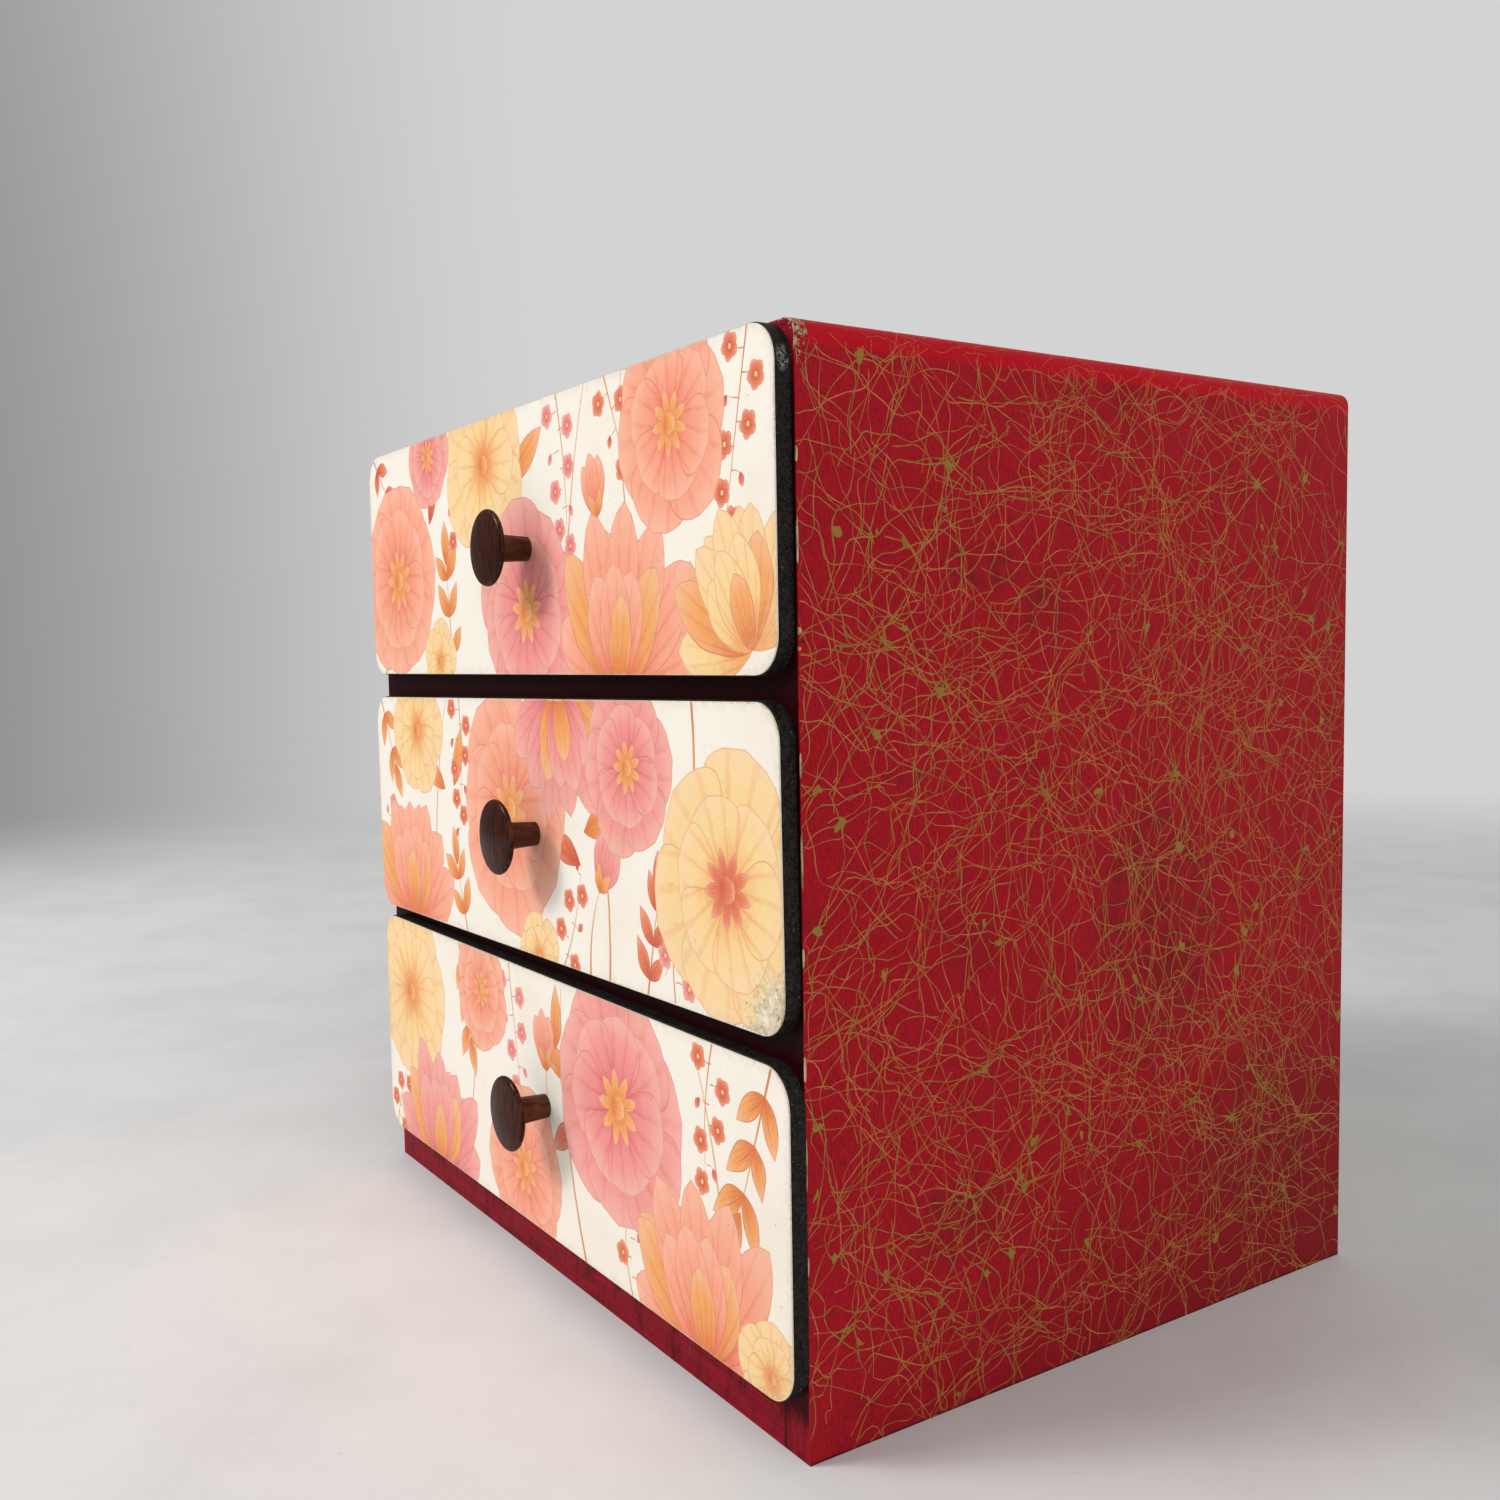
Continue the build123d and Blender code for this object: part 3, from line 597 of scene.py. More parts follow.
def front_board_finish():
    f = Finish("black_paint")
    skin = f.noise(0.9, 3, 0.7)
    lumps = f.noise(2.2, 2, 0.5, seed=2)
    scuff = f.noise((3, 1.2, 3), 5, 0.75, seed=4).rise(0.6, 0.78)
    dust = f.noise(0.9, 2, 0.6, seed=7).rise(0.68, 0.74)
    f.colour = f.mix((lumps * 0.3 + skin * 0.7).rise(0.42, 0.62), "090605", "2b2522")
    f.coat(scuff * 0.5, "554d47")
    f.coat(dust * 0.7, "776f67")
    knock = f.blot(f.y, f.z, SCUFF_AT, SCUFF_HALF) * f.x.rise(150, 151)
    chipped = f.noise(1.0, 4, 0.8, seed=11).rise(0.46, 0.6)
    f.coat(knock * chipped * 0.8, "9a958e")
    return f.cover(0.52 + skin * 0.2 + scuff * 0.1, skin * 1.2 + lumps * 0.8, 0.35,
                   Specular_IOR_Level=0.14)


dress(front_board_finish(), *[f"{drawer}_front_board" for drawer in DRAWERS])

# ---- Printed sheets ----
# A sheet of flower-printed paper is glued to each front: large salmon and pale yellow blossoms,
# orange leaves and fine sprays on a cream ground. Its rim is worn pale, most at one lower corner.

CREAM = "f6efe2"
SALMON = ("f79e7e", "e65c3e", "dd6848")      # petal, heart, outline
PINK = ("f1928c", "dc4f5a", "d45f62")
PALE = ("f8d593", "ee923e", "e2a24e")
ORANGE = ("f3a253", "dc6a26", "cf6e2c")
RUST = ("e8754a", "c8462a", "c64f30")
STEM = ("dc9a5c", "cf7c40", "cf7c40")
OUTLINE = 0.45              # mm of darker ink round each shape
PETAL_POINTS = 16           # down each side of a petal
STEM_POINTS = 9
DISC_POINTS = 12
STAMENS = 9
SHEET_CORNER = 12           # radius of a sheet's corners, as its wear takes it
PRINT_MARGIN = 0.4
TORN = 19                   # how far the torn corner reaches


def turned(x, y, angle):
    """A place turned about the origin, given as numbers or as wires."""
    return x * cos(angle) - y * sin(angle), x * sin(angle) + y * cos(angle)


def beyond(at, turn, length):
    """The place so far from another, in a direction in radians."""
    return at[0] + length * cos(turn), at[1] + length * sin(turn)


def both_sides(count):
    """(side, share) along one side of a shape, from its root, and back along the other."""
    shares = [index / (count - 1) for index in range(count)]
    return [(1, share) for share in shares] + [(-1, 1 - share) for share in shares]


class Print:
    """Shapes printed one over another on a sheet, in mm from the sheet's middle."""

    def __init__(self, seed):
        self.shapes = []
        self.random = random.Random(seed)

    def add(self, points, at, turn, length, width, bend, ink, heart):
        """One shape: its corners lie along X from its root, which is then put at a place and turned."""
        self.shapes.append({"points": points, "at": at, "turn": turn, "length": length, "width": width,
                            "bend": bend, "ink": ink, "heart": heart, "seed": self.random.random()})

    def petal(self, at, turn, length, width, inks, blunt=1.5, bend=0.0, rim=OUTLINE):
        """A petal or leaf from its root: blunt moves its widest part to the tip, bend curls it."""
        frill = self.random.uniform(0, tau)
        fullness = 0.62 if blunt > 1 else 1.0
        for grow, ink in ((rim, inks[2]), (0.0, inks[0])):
            points = []
            for side, share in both_sides(PETAL_POINTS):
                belly = sin(pi * share)
                half = width / 2 * sin(pi * share ** blunt) ** fullness
                half += 0.03 * width * sin(7 * share + frill) * belly + grow * (0.15 + 0.85 * belly)
                points.append(((length + grow * 2) * share - grow, side * half + bend * length * share ** 2))
            self.add(points, at, radians(turn), length, width, bend * length, ink, inks[1])

    def disc(self, at, radius, inks):
        points = []
        for n in range(DISC_POINTS):
            turn = tau * n / DISC_POINTS
            points.append((radius * (1 + cos(turn)) * (1 + 0.05 * sin(n * 2.4)), radius * sin(turn)))
        self.add(points, (at[0] - radius, at[1]), 0.0, 2 * radius, 2 * radius, 0.0, inks[0], inks[1])

    def stem(self, start, end, bow, width=1.3, inks=STEM):
        """A fine stalk that thins to its end."""
        turn = atan2(end[1] - start[1], end[0] - start[0])
        length = dist(start, end)
        points = [(share * length, side * width * (0.55 - 0.35 * share) + bow * 4 * share * (1 - share))
                  for side, share in both_sides(STEM_POINTS)]
        self.add(points, start, turn, length, 9.0, 0.0, inks[0], inks[1])

    def blossom(self, at, size, inks, petals, turn, inner=ORANGE):
        """An open flower: a ring of broad petals, a ring of shorter ones and a stamened heart."""
        for ring, share, wide in ((0, 0.5, 0.5), (1, 0.36, 0.34)):
            for index in range(petals):
                angle = turn + 360 * (index + 0.5 * ring) / petals + self.random.uniform(-6, 6)
                length = size * share * self.random.uniform(0.92, 1.08)
                self.petal(at, angle, length, size * wide, inks, self.random.uniform(1.5, 1.9))
        for index in range(STAMENS):
            self.petal(at, turn + 360 / STAMENS * index + 11, size * 0.15, size * 0.05, inner, 1.2, rim=0.2)
        self.disc(at, size * 0.05, inner)

    def cup(self, at, size, inks, turn):
        """A half-opened flower from the side, its petals in a fan."""
        for layer, (reach, count, length) in enumerate(((74, 6, 0.7), (50, 5, 0.78), (34, 4, 0.58))):
            sides = sorted((2 * index / (count - 1) - 1 for index in range(count)), key=abs, reverse=True)
            for index, side in enumerate(sides):
                self.petal(at, turn + side * reach, size * length * self.random.uniform(0.9, 1.08),
                           size * (0.34 - 0.03 * layer), ORANGE if (index + layer) % 4 == 2 else inks, 1.22,
                           bend=side * -0.1)
        self.petal(at, turn, size * 0.42, size * 0.2, ORANGE if inks is not ORANGE else PALE, 1.1)

    def leaf(self, at, turn, length, inks=ORANGE, bend=0.12, width=0.36):
        self.petal(at, turn, length, length * width, inks, 0.92, bend)
        self.stem(at, beyond(at, radians(turn) + bend, 0.8 * length), bend * 6, 0.5, inks[2:0:-1])

    def spray(self, at, turn, length, inks=RUST, count=7):
        """Small five-petalled flowers and buds up a fine bent stalk."""
        direction = radians(turn)
        self.stem(at, beyond(at, direction, length), self.random.uniform(-4, 4), 0.7)
        for index in range(count):
            share = (index + 1) / count
            side = 1 if index % 2 else -1
            reach = (1.1 - share) * 6 + 2
            root = beyond(at, direction, length * share)
            place = beyond(root, direction + pi / 2, side * reach)
            self.stem(root, place, 0.3, 0.45)
            if index % 3 == 2:
                self.petal(place, turn + side * 30, 4.2, 2.6, inks, 1.0, rim=0.25)
                continue
            for petal in range(5):
                self.petal(place, 72 * petal + turn, 4.4, 3.6, inks, 1.5, rim=0.22)
            self.disc(place, 0.8, PALE)

    def sprig(self, at, turn, length, inks=ORANGE, pairs=3, size=15):
        """A stalk with pairs of leaves and one at its tip."""
        direction = radians(turn)
        end = beyond(at, direction, length)
        self.stem(at, end, 0, 1.1)
        for pair in range(pairs):
            root = beyond(at, direction, length * (pair + 0.6) / pairs)
            for side in (-1, 1):
                self.leaf(root, turn + side * self.random.uniform(38, 56),
                          size * self.random.uniform(0.8, 1.1), inks, side * -0.1, 0.42)
        self.leaf(end, turn + self.random.uniform(-12, 12), size, inks, 0.05, 0.42)

    def bud(self, at, turn, size, inks, root):
        """A closed flower with two small leaves under it, on a stalk that starts at its root."""
        self.stem(root, at, 2.5, 1.2)
        for side in (-1, 1, 0):
            self.petal(at, turn + side * 22, size * (1 if side else 1.1), size * 0.42, inks, 1.3,
                       bend=side * -0.1)
        for side in (-1, 1):
            self.petal(at, turn + side * 34, size * 0.45, size * 0.2, ORANGE, 1.0, bend=side * -0.15)


def top_print():
    p = Print(5)
    p.stem((-150, -50), (-118, 30), 8)
    p.stem((-20, -50), (-8, 48), -6)
    p.stem((96, -50), (78, 50), 7)
    p.stem((34, -50), (52, 50), 5)
    p.sprig((-70, -50), 96, 46, ORANGE, 3, 18)
    p.sprig((-160, 50), -48, 30, RUST, 2, 15)
    p.spray((-58, 48), -98, 44)
    p.spray((30, 50), -84, 62, PINK, 9)
    p.spray((152, 50), -103, 62, RUST, 9)
    p.spray((66, 50), -66, 34, RUST, 5)
    p.leaf((128, -50), 98, 36)
    p.leaf((122, -46), 62, 28, RUST)
    p.leaf((92, 2), 28, 24, RUST)
    p.leaf((-10, 24), 22, 32)
    p.leaf((-92, 14), 66, 22, RUST)
    p.bud((60, 4), 105, 20, SALMON, (66, -30))
    p.blossom((-130, -8), 90, SALMON, 7, 10)
    p.blossom((-34, 32), 74, PALE, 6, 25)
    p.blossom((2, -26), 82, PINK, 7, 0)
    p.cup((72, -54), 74, SALMON, 84)
    p.blossom((108, 28), 68, SALMON, 6, 14)
    p.cup((152, -42), 56, PALE, 112)
    p.blossom((-92, 42), 46, PINK, 6, 5)
    p.blossom((-84, -44), 34, PALE, 5, 12)
    return p


def middle_print():
    p = Print(8)
    p.stem((-96, -50), (-80, 48), 6)
    p.stem((60, -50), (40, 50), -8)
    p.stem((118, 50), (98, -40), 8)
    p.sprig((-160, 50), -62, 36, ORANGE, 2, 17)
    p.sprig((86, -50), 76, 36, RUST, 3, 15)
    p.sprig((-64, -50), 108, 30, ORANGE, 2, 16)
    p.leaf((-84, 10), 150, 26)
    p.leaf((-74, 12), 62, 26)
    p.spray((-66, 50), -92, 56, RUST, 9)
    p.spray((104, -48), 84, 62, PINK, 9)
    p.spray((-162, -48), 76, 50, PINK, 7)
    p.spray((24, -50), 66, 40, RUST, 6)
    p.leaf((44, 2), 18, 28)
    p.leaf((40, -10), 155, 26, RUST)
    p.bud((54, -18), 62, 22, PINK, (46, -50))
    p.cup((-124, -50), 72, SALMON, 93)
    p.blossom((-114, 34), 56, PALE, 6, 0)
    p.blossom((-18, 6), 94, SALMON, 7, 20)
    p.cup((26, 52), 62, PINK, -80)
    p.blossom((76, 26), 60, PINK, 6, 8)
    p.blossom((136, -8), 86, PALE, 6, 15, RUST)
    p.blossom((4, -48), 34, PALE, 5, 40)
    return p


def bottom_print():
    p = Print(13)
    p.stem((-60, 50), (-78, -46), 7)
    p.stem((36, -52), (20, 48), 6)
    p.stem((128, -50), (112, 48), -7)
    p.sprig((-76, 50), -76, 40, ORANGE, 3, 16)
    p.sprig((156, 50), -110, 52, ORANGE, 3, 19)
    p.sprig((86, -50), 48, 26, RUST, 2, 15)
    p.spray((-26, 50), -80, 62, PINK, 9)
    p.spray((124, 50), -96, 46)
    p.spray((70, -50), 92, 34, RUST, 5)
    p.spray((-158, -50), 62, 40)
    p.leaf((26, 14), 150, 28)
    p.leaf((14, 24), 80, 24)
    p.leaf((30, -2), 205, 24, RUST)
    p.bud((6, 14), 98, 21, SALMON, (14, -20))
    p.blossom((-134, 18), 84, PALE, 6, 12)
    p.cup((-104, -56), 70, PINK, 88)
    p.blossom((-16, -30), 70, SALMON, 6, 4)
    p.blossom((-54, 34), 50, SALMON, 6, 30)
    p.blossom((62, 14), 90, PINK, 7, 9)
    p.cup((118, -54), 72, SALMON, 98)
    p.blossom((154, -44), 36, PALE, 5, 20)
    return p


def outline_of(name):
    """Outer corners of a front sheet's face in order, as (x, z) in mm, and its middle and tilt."""
    mesh = bmesh.new()
    mesh.from_mesh(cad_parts[name].data)
    bmesh.ops.remove_doubles(mesh, verts=mesh.verts, dist=1e-6)
    mesh.normal_update()
    face_y = min(vertex.co.y for vertex in mesh.verts)
    flat = [face for face in mesh.faces if all(v.co.y < face_y + 1e-5 for v in face.verts)]
    ways = {}
    for face in flat:
        for edge in face.edges:
            if sum(other in flat for other in edge.link_faces) == 1:
                for vertex in edge.verts:
                    ways.setdefault(vertex, []).append(edge.other_vert(vertex))
    start = min(ways, key=lambda vertex: vertex.co.x)
    loop, last = [start], None
    while len(loop) < 2 or loop[-1] is not start:
        step = next(v for v in ways[loop[-1]] if v is not last)
        last = loop[-1]
        loop.append(step)
    points = [(v.co.x / MM, v.co.z / MM) for v in loop[:-1]]
    mesh.free()
    (x, z), (end_x, end_z) = max(zip(points, points[1:] + points[:1]), key=lambda pair: dist(*pair))
    middle = [(min(places) + max(places)) / 2 for places in zip(*points)]
    return points, middle, atan((end_z - z) / (end_x - x))


def print_finish(name, middle, tilt, half, worn):
    """Inks from the sheet's own shapes, with the paper's ageing and its worn rim over them."""
    f = Finish(name)
    ink, heart = f.attribute("ink", "Color"), f.attribute("heart", "Color")
    along, across, kind = f.axes(f.attribute("petal", "Vector"))
    wash = f.noise(3.2, 3, 0.6)
    fine = f.noise((0.5, 0.5, 0.5), 2, 0.6, seed=2)
    on_petal = kind.rise(0.001, 0.002)
    spokes = (across / (along + 0.3).most(0.2) * 11 + kind * 9 + wash * 2).sine()
    deep = along.rise(0.68, 0.0) * 0.85 + spokes.rise(0.55, 1.0) * 0.3 * along.rise(0.05, 0.3)
    f.colour = f.mix((deep + (wash - 0.5) * 0.5).most(0.0) * on_petal, ink, heart)
    pale = along.rise(0.6, 1.0) * 0.35 + abs(across).rise(0.4, 1.0) * 0.12
    f.coat(pale * on_petal, "fdd9c0")
    f.coat(fine.rise(0.45, 0.8) * 0.12, "fbe9d2")
    age = f.noise(45, 4, 0.6, seed=5).rise(0.45, 0.8)
    f.coat(age * 0.18, "d9b98a")
    specks = f.noise(1.1, 2, 0.5, seed=9).rise(0.735, 0.76)
    f.coat(specks * 0.55, "8a6a48")
    right, up = turned(f.x - middle[0], f.z - middle[1], -tilt)
    out_x = (abs(right) - half[0] + SHEET_CORNER).most(0.0)
    out_z = (abs(up) - half[1] + SHEET_CORNER).most(0.0)
    inside = SHEET_CORNER - (out_x ** 2 + out_z ** 2) ** 0.5
    ragged = f.noise(1.8, 4, 0.7, seed=4)
    frayed = f.noise(26, 2, seed=12).rise(0.45, 0.7)
    rim = (inside + (ragged - 0.5) * 1.6).rise(0.5 + worn * 0.2, 0.1) * (0.35 + frayed * 0.5)
    corner = (((right - half[0] + 1) / TORN) ** 2 + ((up + half[1] - 1) / TORN) ** 2) ** 0.5
    torn = (corner + (ragged - 0.5) * 2.2).rise(0.9, 0.75) * worn
    bare = rim.most(torn)
    fibres = f.mix(f.noise(2.4, 4, 0.7).rise(0.4, 0.6), "f0e6cf", "d3c3a0")
    fibres = f.mix(f.noise(1.2, 3, 0.7, seed=14).rise(0.56, 0.66) * 0.8, fibres, "6b5a3e")
    f.coat(bare * 0.95, fibres)
    dirt = (inside + (f.noise(3, 4, 0.6, seed=6) - 0.5) * 9).rise(3.5, 0.0) * 0.3
    f.coat(dirt * torn.most(0.35), "7a5a3c")
    roughness = 0.46 + bare * 0.25 + fine * 0.1
    return f.cover(roughness, fine * 0.4 + wash * 0.3 - torn * 1.5, 0.06)


def made_of(name, mesh, material):
    """A new object in the scene from a bmesh, which is used up."""
    data = bpy.data.meshes.new(name)
    mesh.to_mesh(data)
    mesh.free()
    data.materials.append(material)
    return placed(name, data)


def add_print(drawer, layout, worn):
    """Cuts the overlapping shapes into flat pieces, each with the inks of the shape on top."""
    name = f"{drawer}_front_sheet"
    border, middle, tilt = outline_of(name)
    low, high = box_mm(name)
    points, loops = [], []

    def add_loop(corners):
        twice_area = sum(a[0] * b[1] - b[0] * a[1] for a, b in zip(corners, corners[1:] + corners[:1]))
        loops.append(list(range(len(points), len(points) + len(corners)))[::1 if twice_area > 0 else -1])
        points.extend(Vector(corner) for corner in corners)

    add_loop(border)
    for shape in layout.shapes:
        root_x, root_z = turned(*shape["at"], tilt)
        spread = [turned(along, across, shape["turn"] + tilt) for along, across in shape["points"]]
        add_loop([(middle[0] + root_x + x, middle[1] + root_z + z) for x, z in spread])
    places, _, faces, _, _, owners = delaunay_2d_cdt(points, [], loops, 1, 1e-4)
    kept = [(face, max(owner)) for face, owner in zip(faces, owners) if 0 in owner]

    mesh = bmesh.new()
    inks = {key: mesh.loops.layers.float_color.new(key) for key in ("ink", "heart")}
    petals = mesh.loops.layers.float_vector.new("petal")
    flat_map = mesh.loops.layers.uv.new("OFBake")
    vertices = [mesh.verts.new((x * MM, low.y * MM, z * MM)) for x, z in places]
    size = high - low

    def colour_corners(face, shape):
        for loop in face.loops:
            x, z = loop.vert.co.x / MM, loop.vert.co.z / MM
            loop[flat_map].uv = ((x - low.x) / size.x, (z - low.z) / size.x)
            for key, layer in inks.items():
                loop[layer] = paint(shape[key] if shape else CREAM)
            if shape:
                flat_x, flat_z = turned(x - middle[0], z - middle[1], -tilt)
                along, across = turned(flat_x - shape["at"][0], flat_z - shape["at"][1], -shape["turn"])
                along /= shape["length"]
                across = (across - shape["bend"] * along ** 2) / (shape["width"] / 2)
                loop[petals] = (along, across, 0.1 + shape["seed"])

    for corners, owner in kept:
        face = mesh.faces.new([vertices[index] for index in corners])
        colour_corners(face, layout.shapes[owner - 1] if owner else None)
    mesh.normal_update()
    wrong = [face for face in mesh.faces if face.normal.y > 0]
    bmesh.ops.reverse_faces(mesh, faces=wrong)
    edges = [edge for edge in mesh.edges if edge.is_boundary]
    walls = bmesh.ops.extrude_edge_only(mesh, edges=edges)["geom"]
    back = [item for item in walls if isinstance(item, bmesh.types.BMVert)]
    for vertex in back:
        vertex.co.y = high.y * MM
    rim = [item for item in walls if isinstance(item, bmesh.types.BMEdge) and item.is_boundary]
    closing = bmesh.ops.contextual_create(mesh, geom=rim)["faces"]
    for face in [item for item in walls if isinstance(item, bmesh.types.BMFace)] + closing:
        colour_corners(face, None)
    bmesh.ops.delete(mesh, geom=[v for v in mesh.verts if not v.link_faces], context="VERTS")
    bmesh.ops.recalc_face_normals(mesh, faces=mesh.faces)
    longest = max(dist(a, b) for a, b in zip(border, border[1:]))
    half = (longest / 2 + SHEET_CORNER - PRINT_MARGIN, (size.z - abs(size.x * sin(tilt))) / 2)
    sheet = made_of(f"{drawer}_flower_sheet", mesh,
                    print_finish(f"{drawer}_printed_paper", middle, tilt, half, worn))
    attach(sheet, f"drawer_{drawer}")
    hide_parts(name)


add_print("top", top_print(), 0.15)
add_print("middle", middle_print(), 1.0)
add_print("bottom", bottom_print(), 0.1)

# ---- Knobs ----
# Each knob is turned from a dark hardwood: a neck that widens to a thin domed head, stained
# nearly black and varnished. A screw from inside the drawer holds it.

KNOB_FOOT_RADIUS = 4.5
KNOB_NECK_RADIUS = 5.4
KNOB_DOME_RISE = 2.7
KNOB_UNDERSIDE_RISE = 2.2
KNOB_RIM_RADIUS = 1.1
KNOB_SIDES = 96
NECK_RINGS = 12
UNDERSIDE_RINGS = 10
RIM_RINGS = 12
FACE_RINGS = 15


def knob_stations(radius, standoff):
    """(place along the axis, radius) down the knob, from its foot to the middle of its face."""
    neck_end = standoff - KNOB_UNDERSIDE_RISE
    rows = []
    for step in range(NECK_RINGS + 1):
        share = step / NECK_RINGS
        swell = (KNOB_NECK_RADIUS - KNOB_FOOT_RADIUS) * (0.75 * share + 0.25 * share ** 4)
        rows.append((neck_end * share, KNOB_FOOT_RADIUS + swell))
    rim_centre = radius - KNOB_RIM_RADIUS
    for step in range(1, UNDERSIDE_RINGS):
        share = step / UNDERSIDE_RINGS
        rows.append((neck_end + (standoff - KNOB_RIM_RADIUS - neck_end) * share ** 1.6,
                     KNOB_NECK_RADIUS + (rim_centre - KNOB_NECK_RADIUS) * share))
    for step in range(RIM_RINGS + 1):
        turn = radians(-86 + 160 * step / RIM_RINGS)
        rows.append((standoff + KNOB_RIM_RADIUS * sin(turn),
                     rim_centre + KNOB_RIM_RADIUS * cos(turn)))
    edge_along, edge = rows[-1]
    rise = standoff + KNOB_DOME_RISE - edge_along
    ball = (edge ** 2 + rise ** 2) / (2 * rise)
    for step in range(1, FACE_RINGS + 1):
        out = edge * (1 - step / FACE_RINGS)
        rows.append((standoff + KNOB_DOME_RISE - ball + sqrt(ball ** 2 - out ** 2), max(out, 0.01)))
    return rows


def lathe_recipe():
    """Turns the points of a line into rings, each as wide as the point's own radius."""
    r = Recipe("lathe", {"Geometry": "NodeSocketGeometry", "Sides": "NodeSocketInt",
                         "Material": "NodeSocketMaterial"})
    line = r.add("GeometryNodeMeshToCurve", sockets={"Mesh": r["Geometry"]})
    line = r.add("GeometryNodeSetCurveNormal", {"mode": "Z_UP"}, {"Curve": line})
    ring = r.add("GeometryNodeCurvePrimitiveCircle", {"mode": "RADIUS"}, {
        "Resolution": r["Sides"], "Radius": 1.0})
    body = r.add("GeometryNodeCurveToMesh", sockets={
        "Curve": line, "Profile Curve": ring, "Scale": r.kept("turned_radius"), "Fill Caps": True})
    body = r.add("GeometryNodeSetShadeSmooth", sockets={"Geometry": body, "Shade Smooth": True})
    r.finish(body, r["Material"])
    return r


def knob_finish(name, centre, head_back):
    f = Finish(name)
    grain = f.noise((1.1, 14, 9), 4, 0.6, 0.4)
    streak = f.noise((0.35, 8, 5), 3, 0.6, seed=3)
    f.colour = f.mix(grain.rise(0.35, 0.7), "220c05", "451c0d")
    f.coat(streak.rise(0.55, 0.72) * 0.6, "6a341c")
    f.coat(f.noise(0.5, 2, seed=5).rise(0.3, 0.24) * 0.7, "0c0504")
    neck = (f.y - head_back).rise(-1.0, 1.5)
    f.coat(neck * 0.55, f.mix(grain.rise(0.35, 0.7), "4c2a1a", "75492f"))
    out = (((f.x - centre.x) ** 2) + ((f.z - centre.z) ** 2)) ** 0.5
    # The rim of the head is painted lighter along the grain: partly wear, partly a painted highlight where
    # its rounded edge catches the light.
    worn = out.rise(12.4, 13.4) * grain.rise(0.45, 0.6)
    f.coat(worn * 0.3, "6a3a26")
    return f.cover(0.4 + streak * 0.2, grain * 0.3 + streak * 0.3, 0.03,
                   Specular_IOR_Level=0.03, Coat_Weight=0.24, Coat_Roughness=0.06, Coat_IOR=1.45)


def add_knob(drawer, recipe):
    low, high = box_mm(f"{drawer}_knob")
    centre = (low + high) / 2
    foot = box_mm(f"{drawer}_front_sheet")[0].y
    rows = knob_stations((high.x - low.x) / 2, foot - low.y - KNOB_DOME_RISE)
    line = bpy.data.meshes.new(f"{drawer}_knob_line")
    line.from_pydata([(centre.x * MM, (foot - along) * MM, centre.z * MM) for along, _ in rows],
                     [(n, n + 1) for n in range(len(rows) - 1)], [])
    line.attributes.new("turned_radius", "FLOAT", "POINT").data.foreach_set(
        "value", [radius * MM for _, radius in rows])
    knob = made_by(recipe, f"{drawer}_turned_knob", line,
                   {"Sides": KNOB_SIDES, "Material": knob_finish(
                       f"{drawer}_knob_wood", centre, low.y + KNOB_DOME_RISE + KNOB_UNDERSIDE_RISE)})
    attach(knob, f"drawer_{drawer}")
    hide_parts(f"{drawer}_knob")


def screw_finish():
    f = Finish("screw_steel")
    lathe = f.noise((0.2, 3, 0.2), 2)
    tarnish = f.noise(1.5, 3, seed=2).rise(0.4, 0.7)
    f.colour = f.mix(tarnish, "a8a49c", "6d665c")
    return f.cover(0.3 + tarnish * 0.2, lathe, 0.03, Metallic=1.0)


lathe = lathe_recipe()
for drawer in DRAWERS:
    add_knob(drawer, lathe)
dress(screw_finish(), *[f"{drawer}_knob_screw" for drawer in DRAWERS])

# ---- Floor, light and camera ----
# The chest stands on a pale grey floor that fades into a pale backdrop, darker to the left. A broad
# light with a small bright one in it comes from the upper left in front, and a soft one from the
# right. The camera looks down a little at the near corner.

FLOOR_GREY = "dededd"
FLOOR_GREY_DEEP = "d5d5d4"
FLOOR_RADIUS = 3.0              # metres
FLOOR_FADE = (900, 2100)        # mm from the middle where it thins out and is gone
WALL_LIGHT = "d3d3d3"
WALL_SHADE = "858585"
ROOM_LIGHT = 0.42
LAMP_TARGET = (0, 0, 0.15)
# name, place, side of the square lamp in metres, power in watts
LAMPS = [("key", (-0.9, -1.9, 1.7), 1.1, 34), ("glint", (-0.85, -1.85, 1.65), 0.3, 9),
         ("side", (2.2, -0.2, 1.3), 1.8, 19)]
CAMERA_PLACE = (0.49379, -0.36330, 0.23667)
CAMERA_YAW = 56.386             # degrees, as the two below
CAMERA_DIP = 4.087
CAMERA_ROLL = -0.988
CAMERA_LENS = 34.565            # mm, on film as wide as this
CAMERA_FILM = 36.0
CAMERA_SHIFT = (0.0022, 0.0048)


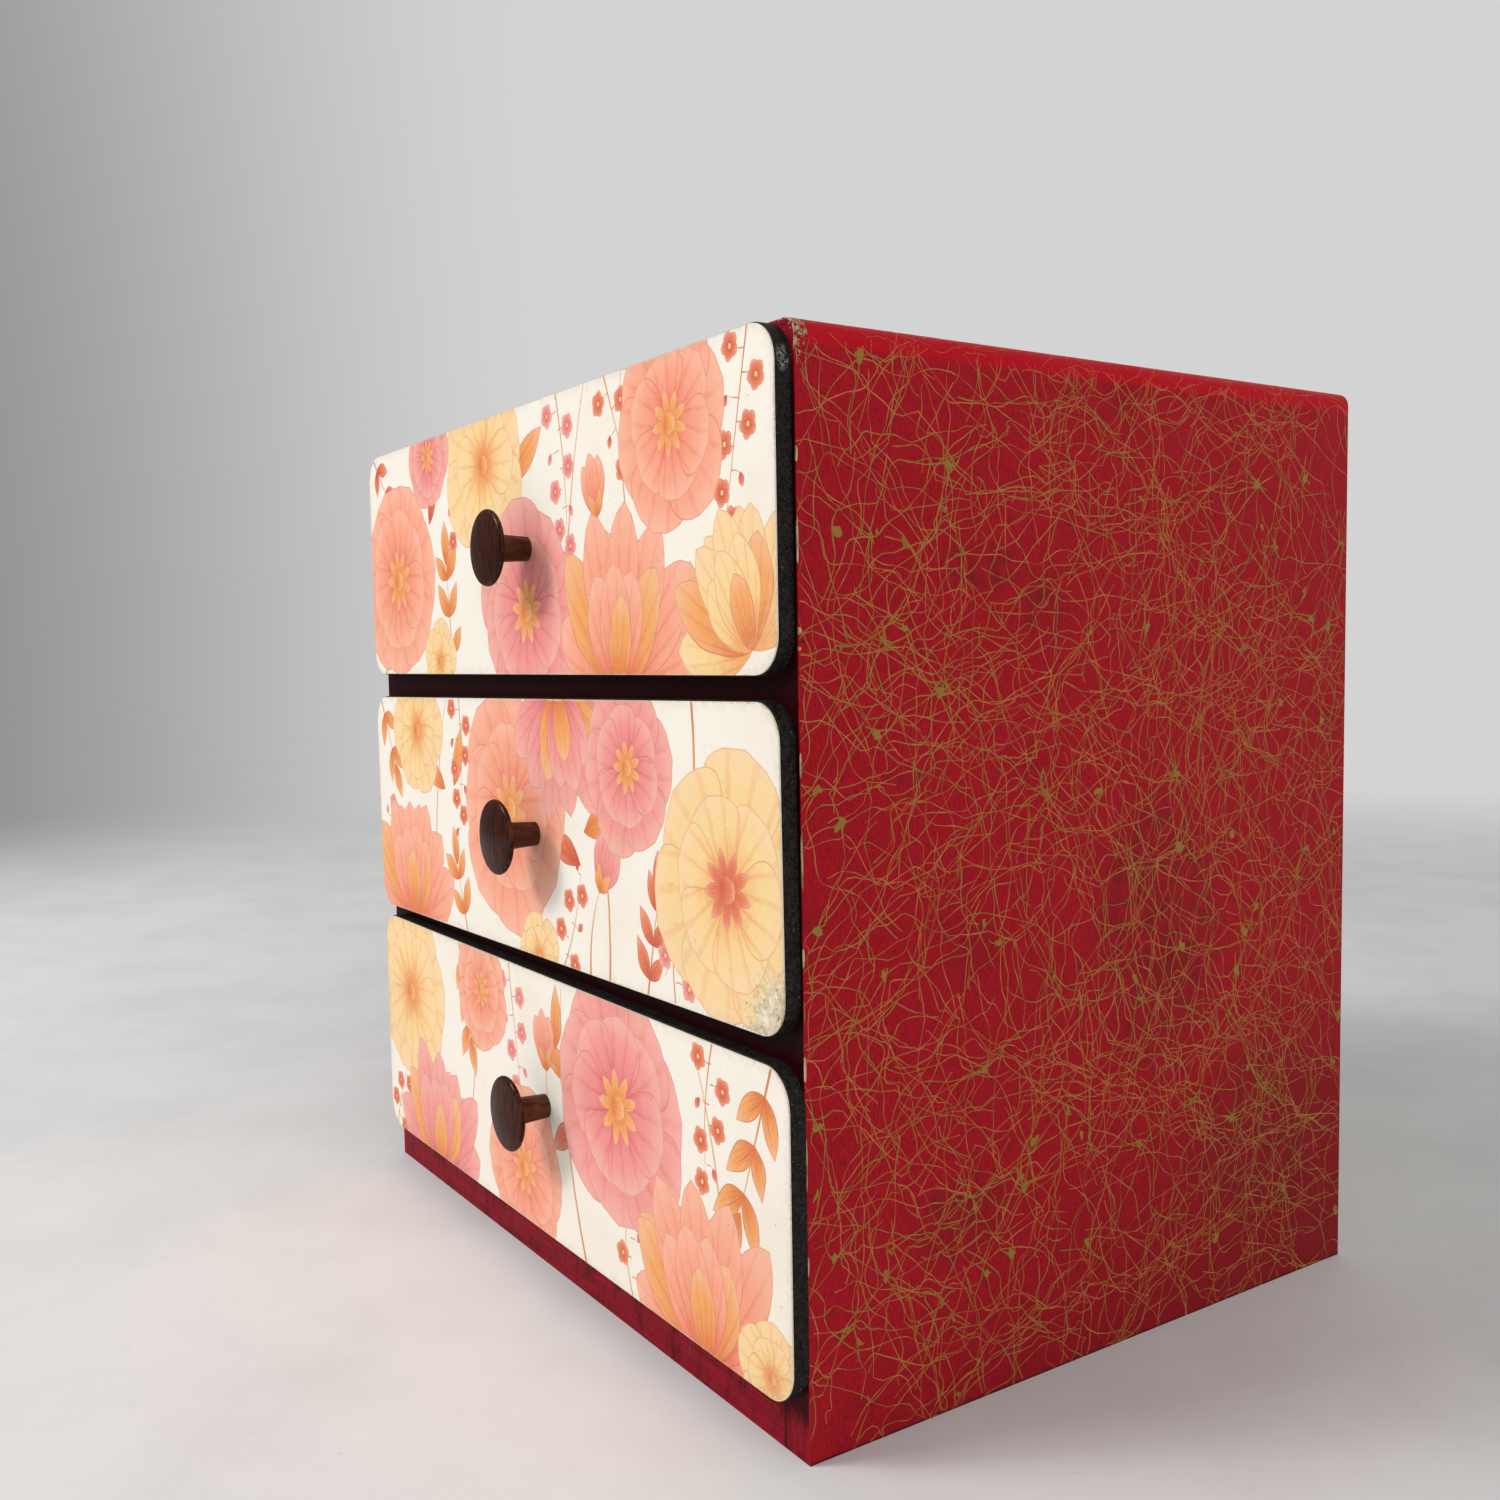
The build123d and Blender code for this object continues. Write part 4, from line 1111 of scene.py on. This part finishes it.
def add_floor():
    f = Finish("floor_paint")
    f.colour = f.mix(f.noise(120, 5, 0.65).rise(0.35, 0.7), FLOOR_GREY, FLOOR_GREY_DEEP)
    f.coat(f.noise(9, 3, 0.7, seed=3).rise(0.66, 0.75) * 0.25, "b4b2ae")
    far = (f.x ** 2 + f.y ** 2) ** 0.5
    mesh = bmesh.new()
    bmesh.ops.create_circle(mesh, cap_ends=True, segments=96, radius=FLOOR_RADIUS)
    floor = made_of("floor", mesh, f.cover(0.7, Alpha=far.rise(FLOOR_FADE[1], FLOOR_FADE[0])))


def add_room():
    """The room lights the chest evenly, and shows as a pale backdrop to the eye and in reflections."""
    world = bpy.data.worlds.new("room")
    world.use_nodes = True
    room = Nodes(world.node_tree)
    x, y, _ = room.axes(room.add("ShaderNodeTexCoord", output="Generated"))
    yaw = radians(CAMERA_YAW)
    to_right = x * cos(yaw) + y * sin(yaw)
    backdrop = room.mix(to_right.rise(-0.58, -0.1), WALL_SHADE, WALL_LIGHT)
    ray = room.add("ShaderNodeLightPath", output="Is Camera Ray")
    seen = ray.most(ray.other("Is Glossy Ray")).most(ray.other("Is Transmission Ray"))
    colour = room.mix(seen, [ROOM_LIGHT, ROOM_LIGHT, ROOM_LIGHT, 1.0], backdrop)
    room.tree.links.new(colour.socket, room.tree.nodes["Background"].inputs["Color"])
    bpy.context.scene.world = world


def add_lamp(name, place, size, power):
    lamp = bpy.data.lights.new(name, "AREA")
    lamp.size = size
    lamp.energy = power
    holder = placed(name, lamp)
    holder.location = place
    holder.rotation_euler = (Vector(LAMP_TARGET) - Vector(place)).to_track_quat("-Z", "Y").to_euler()


def add_camera():
    yaw, dip, roll = [radians(angle) for angle in (CAMERA_YAW, CAMERA_DIP, CAMERA_ROLL)]
    ahead = Vector((-sin(yaw) * cos(dip), cos(yaw) * cos(dip), -sin(dip)))
    level = Vector((cos(yaw), sin(yaw), 0))
    up = level.cross(ahead)
    right = level * cos(roll) + up * sin(roll)
    up = up * cos(roll) - level * sin(roll)
    data = bpy.data.cameras.new("camera")
    data.sensor_width = CAMERA_FILM
    data.lens = CAMERA_LENS
    data.shift_x, data.shift_y = CAMERA_SHIFT
    data.clip_start = 0.01
    camera = placed("camera", data)
    camera.matrix_world = Matrix.Translation(CAMERA_PLACE) @ Matrix((right, up, -ahead)).transposed().to_4x4()
    bpy.context.scene.camera = camera


add_floor()
add_room()
for lamp in LAMPS:
    add_lamp(*lamp)
add_camera()
bpy.context.scene.view_settings.view_transform = "Standard"
